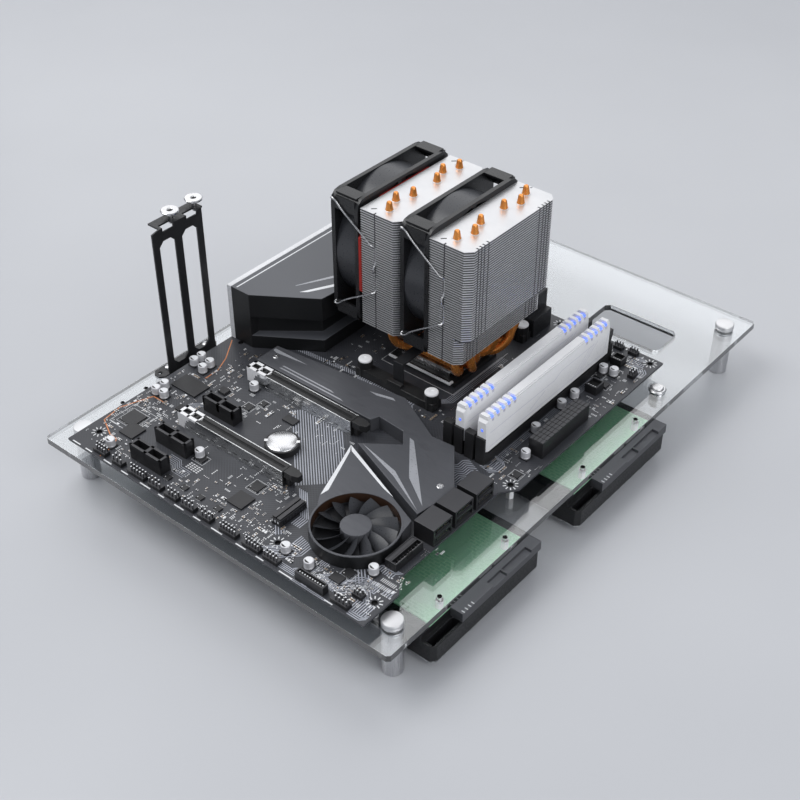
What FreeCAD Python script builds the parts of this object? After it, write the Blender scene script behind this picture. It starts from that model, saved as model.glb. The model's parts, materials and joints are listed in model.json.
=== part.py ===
import FreeCAD, Part
import math
import os
import Sketcher

# Open air test bench: a clear plate on four feet that carries a circuit board with its
# cooler, memory and slots, a slot bracket stand and two drives hung below the plate.
# All sizes are millimetres. X runs from the board's rear edge to its front edge, Y from
# the header edge to the processor edge, and Z is height over the board's top face.
# Each finished piece is then shifted so that the origin lies under the middle of the
# bench, on the floor.

VECTOR = FreeCAD.Vector

SIZES = {
    # Circuit board
    "board_width": 243.84,
    "board_length": 304.8,
    "board_thick": 1.6,
    "board_hole_radius": 1.98,
    "hole_rear_x": 10.16,
    "hole_inner_x": 33.02,
    "hole_middle_x": 165.1,
    "hole_front_x": 237.49,
    "hole_low_y": 16.51,
    "hole_middle_y": 140.97,
    "hole_high_y": 298.45,
    "recess_depth": 7.84,
    "recess_near_y": 29.7,
    "recess_far_y": 141,
    "recess_slope": 10,
    # Plate, feet and standoffs
    "plate_left_x": -22.2,
    "plate_near_y": -2.3,
    "plate_width": 285.3,
    "plate_length": 402.9,
    "plate_thick": 4.5,
    "plate_corner_radius": 2,
    "window_x": 169.5,
    "window_y": 325,
    "window_width": 58,
    "window_length": 28.5,
    "window_radius": 3,
    "foot_inset_x": 14,
    "foot_inset_y": 20,
    "foot_radius": 6.5,
    "foot_cap_height": 4,
    "foot_post_length": 31.5,
    "foot_stud_radius": 2,
    "foot_stud_clearance": 0.1,
    "spare_hole_rear_x": -11.5,
    "spare_hole_rear_y": 52.6,
    "spare_hole_front_inset": 7.1,
    "spare_hole_side": 20.4,
    "spare_hole_pitch": 61,
    "standoff_height": 8,
    "standoff_radius": 2.6,
    # Slot bracket stand
    "stand_x": -10.9,
    "stand_y": 93.2,
    "stand_width": 42.3,
    "stand_height": 110,
    "sheet_thick": 1.2,
    "stand_window_y": 98.3,
    "stand_window_width": 13,
    "stand_window_pitch": 19,
    "stand_window_low": 6,
    "stand_window_height": 94.6,
    "stand_window_radius": 3.5,
    "stand_corner_cut": 6.5,
    "stand_corner_drop": 1.5,
    "flange_depth": 10,
    "flange_overhang": 1.8,
    "flange_notch_width": 9,
    "flange_notch_depth": 3,
    "flange_notch_drop": 3,
    "foot_flange_depth": 9,
    "foot_flange_overhang": 7.5,
    "foot_flange_far": 3.5,
    "foot_flange_radius": 3,
    "stand_screw_x": 4.5,
    "stand_screw_near": 3.7,
    "stand_screw_far": 4,
    "slot_pitch": 20.32,
    "thumbscrew_radius": 6,
    "thumbscrew_thick": 1.6,
    "thumbscrew_gap": 4,
    "thumbscrew_shank_radius": 1.7,
    "thumbscrew_inset_x": 4.8,
    "thumbscrew_y": 114.4,
    "thumbscrew_grip": 4,
    "screw_fit": 0.05,
    # Power button
    "button_inset": 12.6,
    "button_y": 288.5,
    "button_flange_radius": 6,
    "button_flange_thick": 1.6,
    "button_barrel_radius": 4.9,
    "button_barrel_length": 14,
    "button_cap_radius": 3.85,
    "button_cap_length": 5,
    "button_clearance": 0.1,
    "button_proud": 1.2,
    "button_travel": 1,
    # Rear cover with its ports
    "cover_top": 42.7,
    "cover_block_low": 25,
    "cover_slab_top": 10,
    "cover_near_y": 142,
    "cover_far_y": 288,
    "cover_wall_x": 20.5,
    "cover_front_x": 61,
    "cover_bend_y": 169.4,
    "cover_far_x": 66,
    "cover_bend_out": 1.2,
    "cover_bend_rise": 12.6,
    "cover_set_back": 7,
    "cover_trim_width": 4,
    "port_depth": 17,
    "port_inset": 3,
    "port_top": 33,
    "port_proud": 1,
    "port_gap": 2,
    "port_tall": 29,
    "port_short": 16,
    "port_wall": 1.5,
    "port_mouth_depth": 3.5,
    # Slots
    "slot_first_y": 16.56,
    "slot_rear_x": 44.5,
    "slot_height": 11.2,
    "short_slot_length": 27,
    "short_slot_width": 8,
    "long_slot_length": 89.5,
    "long_slot_width": 7.5,
    "slot_mouth_width": 2.2,
    "slot_mouth_depth": 8,
    "slot_end_wall": 2,
    "slot_key_x": 12,
    "slot_key_length": 2,
    "shield_thick": 0.6,
    "slot_latch_gap": 0.6,
    "slot_latch_half_width": 3.5,
    "slot_latch_stem": 3.5,
    "slot_latch_low": 0.8,
    "slot_latch_head_low": 7,
    "slot_latch_length": 10.6,
    "slot_latch_top": 11.6,
    # Memory
    "memory_first_x": 186.6,
    "memory_pitch": 8.3,
    "memory_near_y": 144,
    "memory_far_y": 286,
    "memory_slot_width": 6.5,
    "memory_slot_height": 7,
    "memory_tower_height": 20,
    "memory_tower_length": 4.5,
    "memory_cheek_height": 14,
    "memory_mouth_width": 1.6,
    "memory_mouth_depth": 4,
    "memory_board_thick": 1.3,
    "memory_board_height": 31,
    "memory_end_gap": 0.3,
    "memory_notch_room": 0.6,
    "spreader_half_width": 4.3,
    "spreader_ridge_half": 2.4,
    "spreader_low": 10,
    "spreader_shoulder": 28,
    "spreader_top": 36,
    "spreader_overhang": 3.5,
    "spreader_end_gap": 0.4,
    "spreader_far_gap": 1.7,
    "spreader_fit": 0.05,
    "ridge_notch_width": 2.6,
    "ridge_notch_pitch": 5.6,
    "ridge_notch_depth": 3,
    "ridge_notch_first": 4,
    "latch_width": 3.2,
    "latch_gap": 0.35,
    "latch_hook_reach": 1.2,
    "latch_hook_height": 2,
    "latch_hook_low": 17,
    "latch_top": 23,
    "latch_foot": 0.4,
    "latch_pivot_rise": 4,
    # Cooler
    "cooler_y": 217.8,
    "tower_width": 88.8,
    "tower_depth": 30.2,
    "tower_bottom": 36.9,
    "tower_top": 121,
    "rear_tower_x": 93,
    "front_tower_x": 147.2,
    "fin_count": 50,
    "fin_thick": 0.5,
    "fin_reach": 7,
    "fin_corner_cut": 4.5,
    "clip_hold_x": 11.5,
    "front_step_height": 18.8,
    "front_step_depth": 5.7,
    "pipe_radius": 3,
    "pipe_fit": 0.05,
    "pipe_first_offset": 11.7,
    "pipe_tower_pitch": 11.5,
    "pipe_base_pitch": 6.6,
    "pipe_stagger": 4.4,
    "pipe_rear_leg": 15.1,
    "pipe_front_leg": 13.1,
    "pipe_tip_height": 6,
    "pipe_tip_radius": 1.2,
    "pipe_run_height": 11.6,
    "pipe_corner_drop": 3,
    "base_x": 116,
    "base_width": 36,
    "base_length": 40,
    "base_block_height": 6,
    "clip_bar_width": 8,
    "clip_bar_thick": 1.5,
    # Cooler fans
    "fan_size": 90,
    "fan_thick": 22,
    "fan_centre_z": 80,
    "fan_flange_thick": 3,
    "fan_corner_cut": 3.5,
    "fan_tunnel_radius": 43,
    "fan_tunnel_wall": 1.9,
    "fan_hub_radius": 18,
    "fan_blade_radius": 41.5,
    "fan_blade_inset": 1.5,
    "fan_motor_thick": 3,
    "fan_motor_inset": 0.5,
    "fan_strut_width": 4,
    "fan_running_gap": 0.5,
    "gasket_thick": 1.8,
    "gasket_half_height": 40.5,
    "gasket_corner_cut": 21,
    "gasket_hole_radius": 38,
    "blade_thick": 1.3,
    "blade_chord": 19,
    "blade_pitch": 38,
    "blade_camber": 2.2,
    "blade_count": 9,
    "clip_wire_radius": 0.8,
    "clip_wire_gap": 0.1,
    "clip_slope": 16,
    "clip_end_drop": 4,
    # Processor, socket and retention
    "socket_x": 99.5,
    "socket_y": 194,
    "socket_width": 54,
    "socket_length": 46,
    "socket_height": 3.4,
    "processor_size": 40,
    "processor_height": 3.2,
    "lever_radius": 1,
    "lever_pivot_x": 152,
    "lever_free_x": 101,
    "lever_y": 190.5,
    "lever_height": 4.6,
    "lever_end_gap": 0.3,
    "bracket_left_x": 98.6,
    "bracket_pitch_x": 55.9,
    "bracket_near_y": 168.8,
    "bracket_pitch_y": 98,
    "bracket_bar_width": 9,
    "bracket_bar_height": 6,
    "bracket_post_radius": 5,
    "bracket_post_height": 11.6,
    "bracket_cap_radius": 4.6,
    "bracket_cap_height": 1.5,
    "bracket_lug_width": 12,
    "bracket_lug_length": 3.5,
    "bracket_lug_height": 2.5,
    # Processor supply heatsink along the far edge
    "heatsink_x": 72,
    "heatsink_y": 272.6,
    "heatsink_width": 88,
    "heatsink_length": 21.4,
    "heatsink_height": 28,
    "heatsink_fin_pitch": 8,
    "heatsink_fin_gap": 4.5,
    "heatsink_fin_depth": 14,
    # Chipset cover and its fan
    "ring_x": 195.3,
    "ring_y": 49.5,
    "ring_radius": 27.3,
    "ring_wall": 1.4,
    "chipset_cover_top": 9.3,
    "chipset_base_top": 1.5,
    "small_hub_radius": 9.5,
    "small_hub_top": 8.2,
    "small_blade_radius": 24.4,
    "small_blade_count": 13,
    "small_blade_chord": 8,
    "small_blade_camber": 0.8,
    "small_blade_pitch": 50,
    "small_blade_thick": 0.8,
    "small_running_gap": 0.4,
    "diamond_tip_x": 147,
    "diamond_tip_y": 100,
    "diamond_left_x": 163,
    "diamond_left_y": 54,
    "diamond_right_x": 218.3,
    "diamond_right_y": 71.3,
    # Long cover over the drive cards
    "m2_cover_top": 10,
    "m2_cover_low_y": 125,
    "m2_left_x": 42,
    "m2_left_top_y": 144.7,
    "m2_notch_x": 141,
    "m2_gap_x": 2.6,
    "m2_gap_y": 3,
    "m2_right_x": 220.1,
    "m2_right_y": 108.6,
    "m2_corner_x": 196.9,
    "m2_corner_y": 138.3,
    "m2_screw_near_x": 213,
    "m2_screw_near_y": 104,
    "m2_screw_far_x": 50,
    "m2_screw_far_y": 135,
    "cover_screw_radius": 2.6,
    "cover_screw_height": 0.8,
    # Drives
    "drive_length": 147,
    "drive_width": 101.6,
    "drive_height": 20.1,
    "drive_front_x": 268.5,
    "drive_near_y": 29.7,
    "drive_pitch_y": 141.8,
    "drive_lid_thick": 0.9,
    "drive_bevel": 3,
    "drive_spacer_height": 6,
    "drive_spacer_radius": 2.5,
    "drive_spacer_pitch": 88,
    "drive_shelf_depth": 9,
    "drive_well_side": 2,
    "drive_well_depth": 8,
    "drive_board_length": 100,
    "drive_board_inset": 7,
    "drive_board_thick": 1.2,
    "drive_port_y": 25.6,
    "drive_port_width": 76,
    "drive_port_height": 6.7,
    "drive_mouth_back": 4.2,
    "drive_mouth_depth": 2,
    "drive_mouth_first": 28.6,
    "drive_short_mouth": 12.6,
    "drive_mouth_wall": 1.2,
    "drive_long_mouth": 23.4,
    "screw_radius": 1.5,
    "screw_clearance": 0.1,
    "screw_head_radius": 2.8,
    "screw_head_height": 2,
    "screw_grip": 3,
    # Sockets, ports and small parts on the board
    "coin_x": 108.7,
    "coin_y": 79.1,
    "coin_radius": 10,
    "coin_top": 5,
    "coin_thick": 3.2,
    "coin_holder_wall": 1,
    "coin_holder_top": 4.4,
    "coin_fit": 0.1,
    "sata_x": 221,
    "sata_depth": 14.5,
    "sata_y": 70,
    "sata_width": 17,
    "sata_pitch": 19.8,
    "sata_height": 12.5,
    "sata_wall": 1.3,
    "sata_row_pitch": 6,
    "sata_mouth_depth": 5,
    "sata_mouth_height": 3.6,
    "main_power_x": 228,
    "main_power_y": 172,
    "main_power_width": 10.4,
    "main_power_length": 51,
    "main_power_height": 12,
    "power_pin_pitch": 4.2,
    "power_pin_hole": 2.9,
    "power_pin_depth": 8,
    "usb_x": 224,
    "usb_y": 41,
    "usb_width": 8,
    "usb_length": 24,
    "usb_height": 6,
    "panel_header_x": 192,
    "panel_header_y": 2,
    "panel_header_length": 21,
    "panel_header_width": 4.5,
    "panel_header_height": 6,
    "long_header_x": 151,
    "long_header_y": 26,
    "long_header_width": 7,
    "long_header_length": 22,
    "cpu_power_x": 10,
    "cpu_power_y": 291.5,
    "cpu_power_width": 18,
    "cpu_power_length": 12,
    "capacitor_radius": 3.1,
    "capacitor_height": 6,
    "chip_height": 1.2,
}


class Length:
    """A number together with the sheet formula that gives it."""

    def __init__(self, number, formula):
        self.number = number
        self.formula = formula

    def __add__(self, other):
        return combine(self, "+", other)

    def __radd__(self, other):
        return combine(other, "+", self)

    def __sub__(self, other):
        return combine(self, "-", other)

    def __rsub__(self, other):
        return combine(other, "-", self)

    def __mul__(self, other):
        return combine(self, "*", other)

    def __rmul__(self, other):
        return combine(other, "*", self)

    def __truediv__(self, other):
        return combine(self, "/", other)

    def __neg__(self):
        return combine(0, "-", self)


OPERATIONS = {
    "+": lambda a, b: a + b,
    "-": lambda a, b: a - b,
    "*": lambda a, b: a * b,
    "/": lambda a, b: a / b,
}


def number_of(length):
    """The plain number of a length or of a number."""
    return length.number if isinstance(length, Length) else float(length)


def formula_of(length):
    """The sheet formula of a length, or a number written out."""
    return length.formula if isinstance(length, Length) else f"({float(length)!r})"


def combine(left, sign, right):
    """Join two lengths by a sign, as a number and as a formula."""
    number = OPERATIONS[sign](number_of(left), number_of(right))
    return Length(number, f"({formula_of(left)} {sign} {formula_of(right)})")


doc = FreeCAD.newDocument("open_air_test_bench")
sheet = doc.addObject("Spreadsheet::Sheet", "Sizes")
for row, (alias, number) in enumerate(SIZES.items(), start=1):
    sheet.set(f"A{row}", alias.replace("_", " "))
    sheet.set(f"B{row}", str(number))
    sheet.setAlias(f"B{row}", alias)
doc.recompute()


class SheetSizes:
    """Gives each cell of the sheet by its alias."""

    def __getattr__(self, alias):
        return Length(float(sheet.get(alias)), "Sizes." + alias)


s = SheetSizes()
nodes = []
cuts = []


def bind(obj, path, length):
    """Tie a property to the sheet."""
    obj.setExpression(path, formula_of(length))


def place(obj, corner):
    """Tie an object's position to the sheet."""
    for axis, length in zip("xyz", corner):
        bind(obj, "Placement.Base." + axis, length)


def box(name, corner, dims):
    """A block from its lowest corner and its sizes along X, Y and Z."""
    obj = doc.addObject("Part::Box", name)
    place(obj, corner)
    for prop, length in zip(("Length", "Width", "Height"), dims):
        bind(obj, prop, length)
    return obj


def bar(name, base, radius, height, sides):
    """An upright round bar drawn with a set number of sides, from the middle of its base."""
    obj = doc.addObject("Part::Prism", name)
    obj.Polygon = sides
    place(obj, base)
    bind(obj, "Circumradius", radius)
    bind(obj, "Height", height)
    return obj


def cut(name, base, *tools):
    """Take one or more tools out of a base."""
    tool = tools[0] if len(tools) == 1 else fuse(name + "_tools", *tools)
    obj = doc.addObject("Part::Cut", name)
    obj.Base = base
    obj.Tool = tool
    cuts.append((obj, base))
    return obj


def fuse(name, *pieces):
    """Join pieces that meet into one."""
    obj = doc.addObject("Part::MultiFuse", name)
    obj.Shapes = list(pieces)
    obj.Refine = True
    return obj


def group(name, *pieces):
    """Hold separate solids together in one object."""
    obj = doc.addObject("Part::Compound", name)
    obj.Links = list(pieces)
    return obj


def fixed(name, shape):
    """A piece whose shape comes from code, held so that the piece can still be shifted."""
    obj = doc.addObject("Part::Feature", name)
    obj.Shape = Part.Compound([shape])
    return obj


def constrain(sketch, kind, *parts):
    """Add a constraint whose last part may be a length from the sheet."""
    *refs, length = parts
    index = sketch.addConstraint(Sketcher.Constraint(kind, *refs, number_of(length)))
    if isinstance(length, Length):
        sketch.setExpression(f"Constraints[{index}]", length.formula)


def polygon(points):
    """An outline of straight edges through points of two lengths each."""

    def draw(sketch):
        first = sketch.GeometryCount
        corners = [VECTOR(number_of(x), number_of(y), 0) for x, y in points]
        count = len(corners)
        for i in range(count):
            sketch.addGeometry(Part.LineSegment(corners[i], corners[(i + 1) % count]))
        for i, (x, y) in enumerate(points):
            after = first + (i + 1) % count
            sketch.addConstraint(Sketcher.Constraint("Coincident", first + i, 2, after, 1))
            constrain(sketch, "DistanceX", -1, 1, first + i, 1, x)
            constrain(sketch, "DistanceY", -1, 1, first + i, 1, y)

    return draw


def rectangle(x, y, width, length):
    """A rectangle from its lowest corner and two sizes."""
    return polygon([(x, y), (x + width, y), (x + width, y + length), (x, y + length)])


def circle(x, y, radius):
    """A circle about a point."""

    def draw(sketch):
        index = sketch.addGeometry(
            Part.Circle(VECTOR(number_of(x), number_of(y), 0), VECTOR(0, 0, 1), number_of(radius))
        )
        constrain(sketch, "DistanceX", -1, 1, index, 3, x)
        constrain(sketch, "DistanceY", -1, 1, index, 3, y)
        constrain(sketch, "Radius", index, radius)

    return draw


def eased(x, y, width, length, cut_back):
    """A rectangle with its corners cut back, from its lowest corner and two sizes."""
    right, high = x + width, y + length
    return polygon([
        (x + cut_back, y), (right - cut_back, y), (right, y + cut_back), (right, high - cut_back),
        (right - cut_back, high), (x + cut_back, high), (x, high - cut_back), (x, y + cut_back),
    ])


def add_sketch(body, name, plane, at, outlines):
    """Draw outlines on a plane of the body, shifted along the plane's own axis."""
    sketch = body.newObject("Sketcher::SketchObject", name)
    origin_plane = [o for o in body.Origin.OriginFeatures if o.Role == plane + "_Plane"][0]
    sketch.AttachmentSupport = [(origin_plane, "")]
    sketch.MapMode = "FlatFace"
    bind(sketch, "AttachmentOffset.Base.z", -at if plane == "XZ" else at)
    for draw in outlines:
        draw(sketch)
    return sketch


def round_feature(kind, body, name, plane, at, height, middle, radius, sides):
    """A round boss or hole in a body, with a set number of sides to keep the piece light."""
    before = body.Tip
    feature = body.newObject(f"PartDesign::{kind}Prism", name)
    origin_plane = [o for o in body.Origin.OriginFeatures if o.Role == plane + "_Plane"][0]
    feature.AttachmentSupport = [(origin_plane, "")]
    feature.MapMode = "FlatFace"
    for axis, length in zip("xyz", (*middle, at)):
        bind(feature, "AttachmentOffset.Base." + axis, length)
    feature.Polygon = sides
    bind(feature, "Circumradius", radius)
    bind(feature, "Height", height)
    if kind == "Subtractive":
        cuts.append((feature, before))


def boss(*sizes):
    """Add a round bar to a body, from a place along the plane's axis towards its plus side."""
    round_feature("Additive", *sizes)


def drill(*sizes):
    """Cut a round hole in a body, from a place along the plane's axis towards its plus side."""
    round_feature("Subtractive", *sizes)


def pad(body, name, plane, at, height, *outlines):
    """Add outlines to a body, from a place along the plane's axis towards its plus side."""
    feature = body.newObject("PartDesign::Pad", name)
    feature.Profile = add_sketch(body, name + "_sketch", plane, at, outlines)
    feature.Reversed = plane == "XZ"
    bind(feature, "Length", height)
    return feature


def pocket(body, name, plane, at, depth, *outlines):
    """Cut outlines out of a body, from a place along the plane's axis towards its plus side."""
    before = body.Tip
    feature = body.newObject("PartDesign::Pocket", name)
    feature.Profile = add_sketch(body, name + "_sketch", plane, at, outlines)
    feature.Reversed = plane != "XZ"
    bind(feature, "Length", depth)
    cuts.append((feature, before))
    return feature


def new_body(name):
    """An empty body."""
    return doc.addObject("PartDesign::Body", name)


def repeat(body, name, feature, axis, spacing, count):
    """Copy a feature along an axis of the body at a fixed spacing."""
    pattern = body.newObject("PartDesign::LinearPattern", name)
    pattern.Originals = [feature]
    line = [o for o in body.Origin.OriginFeatures if o.Role == axis + "_Axis"][0]
    pattern.Direction = (line, [""])
    bind(pattern, "Length", spacing * (count - 1))
    pattern.Occurrences = count
    body.Tip = pattern
    return pattern


def node(name, obj):
    """Finish a piece: give it its name and shift it from the board's frame to the floor's."""
    obj.Label = name
    middle_x = (s.plate_left_x + s.drive_front_x) / 2
    middle_y = s.plate_near_y + s.plate_length / 2
    place(obj, (-middle_x, -middle_y, FLOOR_DROP))
    nodes.append(obj)


PLATE_TOP = -(s.board_thick + s.standoff_height)
PLATE_LOW = PLATE_TOP - s.plate_thick
FLOOR_DROP = s.foot_post_length - PLATE_LOW

FOOT_XS = (s.plate_left_x + s.foot_inset_x, s.plate_left_x + s.plate_width - s.foot_inset_x)
FOOT_YS = (s.plate_near_y + s.foot_inset_y, s.plate_near_y + s.plate_length - s.foot_inset_y)
FEET = [(x, y) for x in FOOT_XS for y in FOOT_YS]

BOARD_HOLE_ROWS = [
    (s.hole_low_y, s.hole_rear_x), (s.hole_middle_y, s.hole_rear_x), (s.hole_high_y, s.hole_inner_x),
]
BOARD_HOLES = [(x, y) for y, rear_x in BOARD_HOLE_ROWS for x in (rear_x, s.hole_middle_x, s.hole_front_x)]

DRIVE_YS = (s.drive_near_y, s.drive_near_y + s.drive_pitch_y)
DRIVE_TOP = PLATE_LOW - s.drive_spacer_height
BUTTON_X = s.plate_left_x + s.plate_width - s.button_inset
SPACER_X = s.plate_left_x + s.plate_width - s.spare_hole_front_inset
SPACER_YS = [y + s.spare_hole_side + s.spare_hole_pitch * k for y in DRIVE_YS for k in (0, 1)]
STAND_SCREWS = [
    (s.stand_x - s.stand_screw_x, s.stand_y - s.stand_screw_near),
    (s.stand_x - s.stand_screw_x, s.stand_y + s.stand_width - s.stand_screw_far),
]
THUMBSCREWS = [(s.stand_x - s.thumbscrew_inset_x, s.thumbscrew_y + s.slot_pitch * k) for k in (0, 1)]

SOCKET_MIDDLE_X = s.bracket_left_x + s.bracket_pitch_x / 2


def make_plate():
    """The clear plate, with its window and its round holes."""
    body = new_body("plate_body")
    outline = eased(s.plate_left_x, s.plate_near_y, s.plate_width, s.plate_length, s.plate_corner_radius)
    window = eased(s.window_x, s.window_y, s.window_width, s.window_length, s.window_radius)
    spare_ys = (s.spare_hole_rear_y, s.spare_hole_rear_y + s.slot_pitch)
    spare = [circle(s.spare_hole_rear_x, y, s.screw_radius) for y in spare_ys]
    pad(body, "plate_pad", "XY", PLATE_LOW, s.plate_thick, outline, window, *spare)
    holes = [(place_xy, s.foot_stud_radius + s.foot_stud_clearance, 8) for place_xy in FEET]
    holes += [((BUTTON_X, s.button_y), s.button_barrel_radius + s.button_clearance, 16)]
    holes += [(place_xy, s.screw_radius + s.screw_clearance, 8) for place_xy in STAND_SCREWS]
    holes += [((SPACER_X, y), s.screw_radius, 8) for y in SPACER_YS]
    for k, (middle, radius, sides) in enumerate(holes):
        drill(body, f"plate_hole_{k}", "XY", PLATE_LOW, s.plate_thick, middle, radius, sides)
    node("acrylic_plate", body)


def make_feet():
    """Four feet: a cap with its stud through the plate, and a post below it."""
    caps, posts = [], []
    for k, (x, y) in enumerate(FEET):
        disc = bar(f"foot_cap_disc_{k}", (x, y, PLATE_TOP), s.foot_radius, s.foot_cap_height, 16)
        stud = bar(f"foot_stud_{k}", (x, y, PLATE_LOW), s.foot_stud_radius, s.plate_thick, 8)
        caps.append(fuse(f"foot_cap_{k}", disc, stud))
        post_low = PLATE_LOW - s.foot_post_length
        posts.append(bar(f"foot_post_{k}", (x, y, post_low), s.foot_radius, s.foot_post_length, 16))
    node("foot_caps", group("foot_cap_group", *caps))
    node("foot_posts", group("foot_post_group", *posts))


def make_standoffs():
    """Six-sided standoffs between the plate and the board, one under each board hole."""
    pieces = []
    for k, (x, y) in enumerate(BOARD_HOLES):
        pieces.append(bar(f"standoff_{k}", (x, y, PLATE_TOP), s.standoff_radius, s.standoff_height, 6))
    node("board_standoffs", group("standoff_group", *pieces))


def make_stand():
    """The folded sheet that holds an expansion card's bracket, and its two thumbscrews."""
    body = new_body("stand_body")
    top = PLATE_TOP + s.stand_height
    far_y = s.stand_y + s.stand_width
    upright = polygon([
        (s.stand_y, PLATE_TOP),
        (far_y, PLATE_TOP),
        (far_y, top),
        (s.stand_y + s.stand_corner_cut, top),
        (s.stand_y, top - s.stand_corner_drop),
    ])
    windows = [
        eased(s.stand_window_y + s.stand_window_pitch * k, PLATE_TOP + s.stand_window_low,
              s.stand_window_width, s.stand_window_height, s.stand_window_radius)
        for k in (0, 1)
    ]
    pad(body, "stand_upright", "YZ", s.stand_x, s.sheet_thick, upright, *windows)
    flange = rectangle(s.stand_x - s.flange_depth, s.stand_y + s.stand_corner_cut,
                       s.flange_depth, s.stand_width - s.stand_corner_cut + s.flange_overhang)
    pad(body, "stand_flange", "XY", top - s.sheet_thick, s.sheet_thick, flange)
    for k, middle in enumerate(THUMBSCREWS):
        drill(body, f"flange_thread_{k}", "XY", top - s.sheet_thick, s.sheet_thick, middle,
              s.thumbscrew_shank_radius + s.screw_fit, 8)
    for k in (0, 1):
        notch_y = s.thumbscrew_y + s.slot_pitch * k - s.flange_notch_width - s.thumbscrew_shank_radius * 2
        notch = rectangle(s.stand_x - s.flange_notch_depth, notch_y,
                          s.flange_notch_depth + s.sheet_thick, s.flange_notch_width)
        pocket(body, f"flange_notch_{k}", "XY", top - s.flange_notch_drop, s.flange_notch_drop, notch)
    foot_length = s.stand_width + s.foot_flange_overhang + s.foot_flange_far
    foot = eased(s.stand_x - s.foot_flange_depth, s.stand_y - s.foot_flange_overhang,
                 s.foot_flange_depth + s.sheet_thick, foot_length, s.foot_flange_radius)
    pad(body, "stand_foot", "XY", PLATE_TOP, s.sheet_thick, foot)
    for k, middle in enumerate(STAND_SCREWS):
        drill(body, f"stand_foot_hole_{k}", "XY", PLATE_TOP, s.sheet_thick, middle,
              s.screw_radius + s.screw_clearance, 8)
    node("slot_bracket_stand", body)

    thumbscrews = []
    for k, (x, y) in enumerate(THUMBSCREWS):
        head_low = top + s.thumbscrew_gap
        disc = bar(f"thumbscrew_disc_{k}", (x, y, head_low), s.thumbscrew_radius, s.thumbscrew_thick, 16)
        shank_low = top - s.thumbscrew_grip
        shank = bar(f"thumbscrew_shank_{k}", (x, y, shank_low), s.thumbscrew_shank_radius,
                    head_low - shank_low, 8)
        thumbscrews.append(fuse(f"thumbscrew_{k}", disc, shank))
    node("bracket_thumbscrews", group("thumbscrew_group", *thumbscrews))

    screws = []
    for k, (x, y) in enumerate(STAND_SCREWS):
        head_low = PLATE_TOP + s.sheet_thick
        head = bar(f"stand_screw_head_{k}", (x, y, head_low), s.screw_head_radius, s.screw_head_height, 12)
        shank = bar(f"stand_screw_shank_{k}", (x, y, PLATE_LOW), s.screw_radius, head_low - PLATE_LOW, 8)
        screws.append(fuse(f"stand_screw_{k}", head, shank))
    node("stand_screws", group("stand_screw_group", *screws))


def make_button():
    """The power button: a barrel through the plate and a cap that travels in it."""
    flange_low = PLATE_TOP
    flange_top = flange_low + s.button_flange_thick
    flange = bar("button_flange", (BUTTON_X, s.button_y, flange_low),
                 s.button_flange_radius, s.button_flange_thick, 20)
    barrel = bar("button_barrel", (BUTTON_X, s.button_y, flange_low - s.button_barrel_length),
                 s.button_barrel_radius, s.button_barrel_length, 16)
    bore_depth = s.button_cap_length + s.button_travel
    bore = bar("button_bore", (BUTTON_X, s.button_y, flange_top - bore_depth),
               s.button_cap_radius + s.button_clearance, bore_depth, 16)
    node("power_button_body", cut("button_body_cut", fuse("button_body_whole", flange, barrel), bore))
    cap = bar("button_cap", (BUTTON_X, s.button_y, flange_top + s.button_proud - s.button_cap_length),
              s.button_cap_radius, s.button_cap_length, 16)
    node("power_button_cap", group("button_cap_group", cap))


def make_board():
    """The circuit board, with the shallow recess in its front edge and nine screw holes."""
    body = new_body("board_body")
    recess_x = s.board_width - s.recess_depth
    outline = polygon([
        (0, 0),
        (s.board_width, 0),
        (s.board_width, s.recess_near_y),
        (recess_x, s.recess_near_y + s.recess_slope),
        (recess_x, s.recess_far_y - s.recess_slope),
        (s.board_width, s.recess_far_y),
        (s.board_width, s.board_length),
        (0, s.board_length),
    ])
    pad(body, "board_pad", "XY", -s.board_thick, s.board_thick, outline)
    for k, middle in enumerate(BOARD_HOLES):
        drill(body, f"board_hole_{k}", "XY", -s.board_thick, s.board_thick, middle, s.board_hole_radius, 8)
    node("circuit_board", body)


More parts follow.
